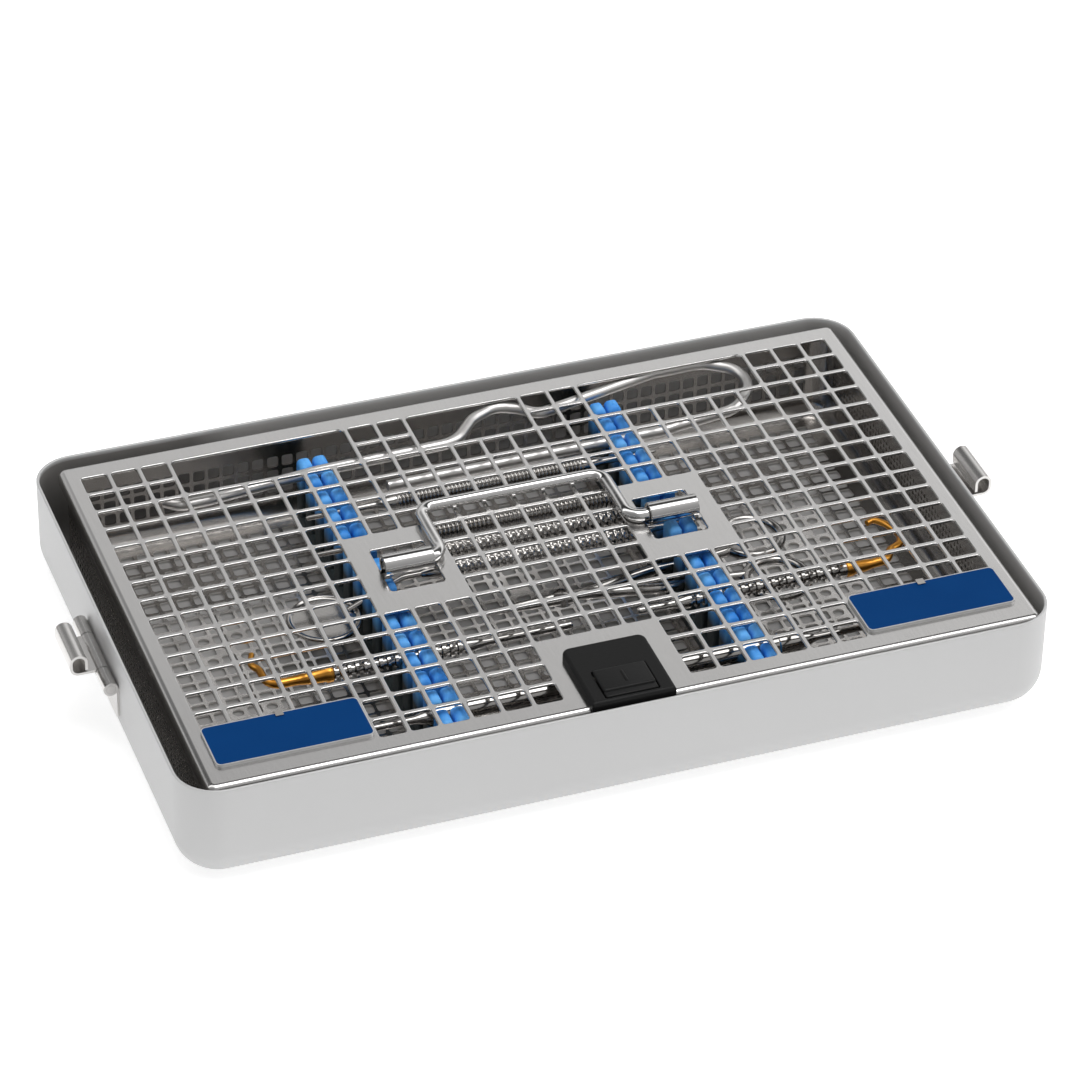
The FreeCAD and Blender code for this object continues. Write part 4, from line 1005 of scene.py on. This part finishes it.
def retractor():
    """Bent wire laid in the rear slots: bow, long run, loop at the right and the return leg."""
    low, high = size_of("retractor_bow")
    y, back_leg = slot_at(6), slot_at(5)
    top = high[2] - 1.9
    run = top - 1.1
    left, right = LEFT_COMB_X - 52.4, RIGHT_COMB_X + 47.7
    back = high[1] - 1.9
    path = [(left, y - 1, run), (left + 4, y - 4.6, run), (left + 14, y - 4.4, run), (LEFT_COMB_X, y, run),
            (TRAY_X - 6, y + 1.4, run), (TRAY_X + 3, y + 11, top), (TRAY_X + 12.5, y + 15.5, top),
            (TRAY_X + 20, y + 12, top), (TRAY_X + 25, y + 6.8, top), (TRAY_X + 44, y + 11.3, top),
            (TRAY_X + 70, back - 0.4, top), (right - 8, back, top), (right + 2.5, back - 7, top),
            (right + 3.5, y + 1, top - 1), (right - 5, back_leg + 2.5, 29.5), (RIGHT_COMB_X + 14, back_leg, 28.0),
            (TRAY_X - 34, back_leg - 1.2, 28.0)]
    path = smooth_path(path, 0.9, 12.0)
    rings = tube(path, 1.9, 20)
    rod_ends(Shell().grid(rings, close_v=True, flip=True), rings).make(
        "bent_wire_retractor", satin_steel, "tray", "instrument_steel", ["retractor_bow"])


retractor()


def front_instrument():
    low, high = size_of("front_probe")
    y, z = (low[1] + high[1]) / 2, (low[2] + high[2]) / 2
    left, right = TRAY_X - 58, TRAY_X + 62
    tool = Shell()
    rows = [(0, 0.3), (0.7, 1.0), (left - 7 - low[0], 1.3), (left - low[0], 3.6), (left + 6 - low[0], 3.6),
            (left + 6.4 - low[0], 3.1), (left + 9.6 - low[0], 3.1), (left + 10 - low[0], 3.6),
            (right - 10 - low[0], 3.6), (right - 9.6 - low[0], 3.1), (right - 6.4 - low[0], 3.1),
            (right - 6 - low[0], 3.6), (right - low[0], 3.6), (right + 7 - low[0], 1.3),
            (high[0] - low[0] - 0.7, 1.0), (high[0] - low[0], 0.3)]
    rings = lathe_x(rows, (low[0], y, z), around=24)
    tool.grid(rings, close_v=True).cap(rings[0], flip=True).cap(rings[-1])
    tool.make("smooth_probe", tool_steel, "tray", "instrument_steel", ["front_probe"], smooth=30)


front_instrument()


GOLD_PLACES = {-1: (2.0, 37.0, 81.6, 95.6), 1: (20.0, 37.0, 91.5, 103.0)}
GOLD_HOOKS = {-1: [(4.5, 0.0), (7.2, 2.5), (7.4, 9.0), (9.4, 12.0), (7.4, 17.0)],
              1: [(3.5, 0.5), (6.5, 5.0), (10.5, 7.0), (12.6, 10.5), (12.4, 14.5), (10.6, 19.0), (7.8, 22.4), (5.0, 21.2)]}


def gold_scaler(node, side):
    """Ribbed steel handle, gold collar and gold hooked tip."""
    shank, grip, grip_end, outer = GOLD_PLACES[side]
    inner = TRAY_X + shank * side
    y, z = slot_at(-4), 28.0
    rows = [(0, 0.9), (0.6, 1.3), (grip - shank - 6, 1.3), (grip - shank, 2.5)]
    pitch = 2.6
    at = grip - shank + 1
    while at + 2 < grip_end - shank:
        rows += [(at, 2.5), (at + 0.3, 1.6), (at + 1.3, 1.6), (at + 1.6, 2.5)]
        at += pitch
    rows.append((grip_end - shank, 2.5))
    handle = Shell()
    rings = lathe_x(rows, (inner, y, z), (side, 0), 22)
    handle.grid(rings, close_v=True).cap(rings[0], flip=True).cap(rings[-1])
    handle.make("ribbed_handle_" + ("left" if side < 0 else "right"), tool_steel, "tray", "instrument_steel",
                [node], smooth=30)
    gold = Shell()
    start, end = grip_end - shank, outer - shank
    collar = lathe_x([(start, 2.4), (start + 0.4, 2.8), (start + 2.2, 2.8), (start + 2.8, 2.4),
                      (start + 0.6 * (end - start), 2.1), (end - 1, 1.4), (end, 1.2)], (inner, y, z), (side, 0), 22)
    gold.grid(collar, close_v=True).cap(collar[0], flip=True).cap(collar[-1])
    tip = TRAY_X + outer * side
    hook = smooth_path([(tip - 3 * side, y, z)] + [(tip + along * side, y + across, z) for along, across in GOLD_HOOKS[side]],
                       0.6, 4.0)
    rings = tube(hook, np.linspace(1.6, 1.0, len(hook)), 14)
    rod_ends(gold.grid(rings, close_v=True, flip=True), rings)
    gold.make("gold_tip_" + ("left" if side < 0 else "right"), gold_nitride, "tray", "instrument_steel", smooth=40)


gold_scaler("gold_tipped_scaler_left", -1)
gold_scaler("gold_tipped_scaler_right", 1)


def scissors():
    low, high = size_of("ring_scissors")
    z = (low[2] + high[2]) / 2
    pivot = np.array([TRAY_X + 4.0, TRAY_Y + COMB_PHASE - 1.5 * COMB_PITCH, z])
    piece = Shell()
    for number, bow in ((-1, 1), (-2, -1)):
        y = TRAY_Y + COMB_PHASE + number * COMB_PITCH
        ring_x = RIGHT_COMB_X + 25.5
        ring_y = y + bow * 7.0
        angle = np.linspace(0, 2 * math.pi, 40, endpoint=False)
        ring = np.stack([ring_x + 10.3 * np.cos(angle), ring_y + 10.3 * np.sin(angle), z + 0 * angle], -1)
        piece.grid(tube(ring, 1.6, 12, closed=True), close_u=True, close_v=True, flip=True)
        arm = smooth_path([pivot + (-32, 0, 0), pivot + (0, -bow * 1.2, 0), (TRAY_X + 36, y, z),
                           (TRAY_X + 50, y, z), (ring_x - 9, ring_y - bow * 5, z)], 1.5, 12.0)
        share = np.linspace(0, 1, len(arm))
        rings = tube(arm, 0.7 + 1.5 * np.clip(share * 3, 0, 1) - 0.5 * share, 12)
        rod_ends(piece.grid(rings, close_v=True, flip=True), rings)
    boss = lathe_x([(0, 0.1), (0.01, 2.6), (0.3, 3.0), (3.7, 3.0), (4.0, 2.6)], (0, 0, 0))
    turned = np.stack([boss[..., 2] + pivot[0], boss[..., 1] + pivot[1], boss[..., 0] + z - 2.0], -1)
    piece.grid(turned, close_v=True, flip=True).cap(turned[-1], flip=True)
    piece.make("ring_handled_scissors", tool_steel, "tray", "instrument_steel", ["ring_scissors"], smooth=50)


scissors()


# Latch
latch_low, latch_high = size_of("latch_housing")
button_low, button_high = size_of("latch_button")
BUTTON_GAP = 0.35
BUTTON_RISE = 0.8
BUTTON_STEP = 2.4
BUTTON_LIP_DROP = 0.6
BUTTON_DEPTH = 2.6


def latch_loops(box, rear_corner, front_corner, rows, per_corner=8):
    """Loops round box (x0, x1, y0, y1), one for each (inset, z) of rows, with one radius for the rear corners and
    one for the front ones. A radius shrinks with the inset."""
    x0, x1, y0, y1 = box
    surface = []
    for inset, z in rows:
        for quarter, (sx, sy) in enumerate(((1, 1), (-1, 1), (-1, -1), (1, -1))):
            corner = max((rear_corner if sy > 0 else front_corner) - inset, 0.1)
            angle = arc(90 * quarter, 90 * quarter + 90, per_corner)
            x = (x1 - inset - corner if sx > 0 else x0 + inset + corner) + corner * np.cos(angle)
            y = (y1 - inset - corner if sy > 0 else y0 + inset + corner) + corner * np.sin(angle)
            surface.append(np.stack([x, y, 0 * x + z], -1))
    return np.array(surface).reshape(len(rows), 4 * per_corner, 3)


def rounded_edge(radius, top, steps=6):
    """Rows over an upper edge: inset radius (1 - cos a) at the height top - radius (1 - sin a)."""
    return [(radius * (1 - math.cos(a)), top - radius * (1 - math.sin(a))) for a in arc(0, 90, steps)]


def latch_body():
    """Moulded housing with soft edges, the well that the press pad rocks in, and the lip over the lid's edge."""
    top = latch_high[2]
    box = (latch_low[0], latch_high[0], latch_low[1], latch_high[1])
    well = (button_low[0] - BUTTON_GAP, button_high[0] + BUTTON_GAP,
            button_low[1] - BUTTON_GAP, button_high[1] + BUTTON_GAP)
    outside = latch_loops(box, 2.8, 0.6, [(0, LID_TOP)] + rounded_edge(1.2, top) + [(1.2 + HOLD, top)])
    edge = [(-inset, z) for inset, z in rounded_edge(0.4, top)[::-1]]
    inside = latch_loops(well, 0.5, 0.5, [(-0.4 - HOLD, top)] + edge + [(0, LID_TOP)])
    body = Shell()
    body.grid(np.concatenate([outside, inside]), close_u=True, close_v=True)
    low = latch_low[2]
    lip = latch_loops((box[0], box[1], box[2], box[2] + 1.0), 0.1, 0.6,
                      [(0.3, low), (0.09, low + 0.09), (0, low + 0.3), (0, LID_TOP)])
    body.grid(lip, close_v=True).cap(lip[0], flip=True).cap(lip[-1])
    body.make("latch_body", housing_black, "tray_lid", "latch_black", ["latch_housing"], smooth=40)


def press_pad():
    """Press pad with soft edges, a lower front lip, a short centre ridge and the arm that carries the hook."""
    top = latch_high[2] + BUTTON_RISE
    low = top - BUTTON_DEPTH
    x0, x1, y0, y1 = button_low[0], button_high[0], button_low[1], button_high[1]
    middle = (x0 + x1) / 2
    ridge = (y0 + BUTTON_STEP + y1) / 2
    arm_back = TRAY_Y - BASKET_HALF_Y + 4.6
    blocks = [((x0, x1, y0 + BUTTON_STEP, y1), 0.9, [(0, low)] + rounded_edge(0.7, top)),
              ((x0 + 0.03, x1 - 0.03, y0, y0 + BUTTON_STEP + 0.8), 0.6,
               [(0, low)] + rounded_edge(0.5, top - BUTTON_LIP_DROP)),
              ((middle - 0.5, middle + 0.5, ridge - 2.8, ridge + 2.8), 0.45,
               [(0, top - 0.1)] + rounded_edge(0.28, top + 0.28, 4)),
              ((middle - 4.0, middle + 4.0, arm_back - 2.0, arm_back), 0.2,
               [(0, button_low[2]), (0, low + 0.1)])]
    pad = Shell()
    for box, corner, rows in blocks:
        loops = latch_loops(box, corner, corner, rows)
        pad.grid(loops, close_v=True).cap(loops[0], flip=True).cap(loops[-1])
    pad.make("press_pad", button_black, "latch", "latch_black", ["latch_button"], smooth=40)


latch_body()
press_pad()


# CAD nodes that keep their shape get their finish here
def dress(node, paint):
    materials = nodes[node].data.materials
    materials.clear()
    materials.append(paint.material)


for name in ("left_clasp_plate", "right_clasp_plate", "left_clasp_pin", "right_clasp_pin", "clasp_rivets",
             "left_clasp_lever", "right_clasp_lever"):
    dress(name, clasp_steel)
for name in ("hinge_pins", "left_comb_rail", "right_comb_rail", "label_clips", "latch_pin", "latch_spring",
             "latch_hook"):
    dress(name, basket_steel)
for name in ("left_label_plate", "right_label_plate"):
    low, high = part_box(name)
    dress(name, label_paint((low[0] + high[0]) / 2, (low[1] + high[1]) / 2, (high[0] - low[0]) / 2,
                            (high[1] - low[1]) / 2, 0.002))


# Floor, backdrop and light
def stage_floor():
    mesh = bpy.data.meshes.new("floor")
    reach = 6.0
    mesh.from_pydata([(-reach, -reach, 0), (reach, -reach, 0), (reach, reach, 0), (-reach, reach, 0)], [],
                     [(0, 1, 2, 3)])
    floor = bpy.data.objects.new("floor", mesh)
    bpy.context.scene.collection.objects.link(floor)
    material = bpy.data.materials.new("floor_white")
    material.use_nodes = True
    tree = material.node_tree
    tree.nodes.clear()
    output = tree.nodes.new("ShaderNodeOutputMaterial")
    diffuse = tree.nodes.new("ShaderNodeBsdfDiffuse")
    diffuse.inputs["Color"].default_value = (0.75, 0.75, 0.75, 1)
    glow = tree.nodes.new("ShaderNodeEmission")
    glow.inputs["Strength"].default_value = 0.58
    total = tree.nodes.new("ShaderNodeAddShader")
    tree.links.new(diffuse.outputs[0], total.inputs[0])
    tree.links.new(glow.outputs[0], total.inputs[1])
    tree.links.new(total.outputs[0], output.inputs["Surface"])
    mesh.materials.append(material)


SKY = [(0.0, 0.26), (0.07, 0.48), (0.13, 0.90), (0.18, 1.06), (0.205, 0.86), (0.225, 0.56), (0.25, 0.10),
       (0.34, 0.04), (0.385, 0.55), (0.41, 2.60), (0.52, 2.60), (0.56, 0.80), (0.70, 0.48), (0.85, 0.40), (1.0, 0.34)]


def world_light():
    """White to the camera. Everything else sees a studio that changes with the angle from the rear horizon over the
    top to the front: a pale rear wall, a dark gap above it, and a broad overhead light that runs on to the front.
    The angle over a half turn is atan2(z, rear) / pi, with rear the part of the direction that points backwards."""
    world = bpy.data.worlds.new("studio")
    bpy.context.scene.world = world
    world.use_nodes = True
    tree = world.node_tree
    tree.nodes.clear()
    output = tree.nodes.new("ShaderNodeOutputWorld")
    background = tree.nodes.new("ShaderNodeBackground")
    place = tree.nodes.new("ShaderNodeTexCoord")
    split = tree.nodes.new("ShaderNodeSeparateXYZ")
    rear = tree.nodes.new("ShaderNodeVectorMath")
    rear.operation = "DOT_PRODUCT"
    rear.inputs[1].default_value = (0.346, 0.938, 0.0)
    angle = tree.nodes.new("ShaderNodeMath")
    angle.operation = "ARCTAN2"
    share = tree.nodes.new("ShaderNodeMath")
    share.operation = "DIVIDE"
    share.inputs[1].default_value = math.pi
    ramp = tree.nodes.new("ShaderNodeValToRGB")
    stops = ramp.color_ramp.elements
    while len(stops) < len(SKY):
        stops.new(0.5)
    for stop, (at, value) in zip(stops, SKY):
        stop.position = at
    for stop, (at, value) in zip(stops, SKY):
        stop.color = (value, value, value, 1)
    tree.links.new(place.outputs["Generated"], split.inputs[0])
    tree.links.new(place.outputs["Generated"], rear.inputs[0])
    tree.links.new(split.outputs[2], angle.inputs[0])
    tree.links.new(rear.outputs["Value"], angle.inputs[1])
    tree.links.new(angle.outputs[0], share.inputs[0])
    tree.links.new(share.outputs[0], ramp.inputs[0])
    across = tree.nodes.new("ShaderNodeVectorMath")
    across.operation = "DOT_PRODUCT"
    across.inputs[1].default_value = (0.938, -0.346, 0.0)
    slope = tree.nodes.new("ShaderNodeMapRange")
    slope.inputs["From Min"].default_value = -0.28
    slope.inputs["From Max"].default_value = 0.24
    slope.inputs["To Min"].default_value = 0.66
    slope.inputs["To Max"].default_value = 1.14
    strength = tree.nodes.new("ShaderNodeMix")
    path = tree.nodes.new("ShaderNodeLightPath")
    tree.links.new(place.outputs["Generated"], across.inputs[0])
    tree.links.new(across.outputs["Value"], slope.inputs["Value"])
    tree.links.new(path.outputs["Is Camera Ray"], strength.inputs[0])
    tree.links.new(slope.outputs[0], strength.inputs[2])
    strength.inputs[3].default_value = 1.0
    tree.links.new(strength.outputs[0], background.inputs["Strength"])
    mix = tree.nodes.new("ShaderNodeMix")
    mix.data_type = "RGBA"
    sockets = [s for s in mix.inputs if s.enabled]
    tree.links.new(path.outputs["Is Camera Ray"], sockets[0])
    tree.links.new(ramp.outputs[0], sockets[1])
    sockets[2].default_value = (1, 1, 1, 1)
    tree.links.new([s for s in mix.outputs if s.enabled][0], background.inputs["Color"])
    tree.links.new(background.outputs[0], output.inputs["Surface"])


def soft_box(name, place, aim, size, power):
    """A rectangular lamp at place that faces aim."""
    data = bpy.data.lights.new(name, "AREA")
    data.shape = "RECTANGLE"
    data.size, data.size_y = size
    data.energy = power
    lamp = bpy.data.objects.new(name, data)
    lamp.location = place
    lamp.rotation_euler = (Vector(aim) - Vector(place)).to_track_quat("-Z", "Y").to_euler()
    bpy.context.scene.collection.objects.link(lamp)


def camera():
    data = bpy.data.cameras.new("camera")
    data.lens = 161.54
    data.sensor_width = 36.0
    view = bpy.data.objects.new("camera", data)
    view.location = (-0.43371, -1.18641, 0.95232)
    view.rotation_euler = [math.radians(a) for a in (54.0339, -0.8096, -19.5770)]
    data.clip_end = 30
    bpy.context.scene.collection.objects.link(view)
    bpy.context.scene.camera = view


stage_floor()
world_light()
soft_box("key_overhead", (0.1, -0.3, 1.6), (0, 0, 0), (0.9, 0.6), 6.0)
camera()
bpy.context.scene.view_settings.view_transform = "Standard"

bpy.context.view_layer.update()
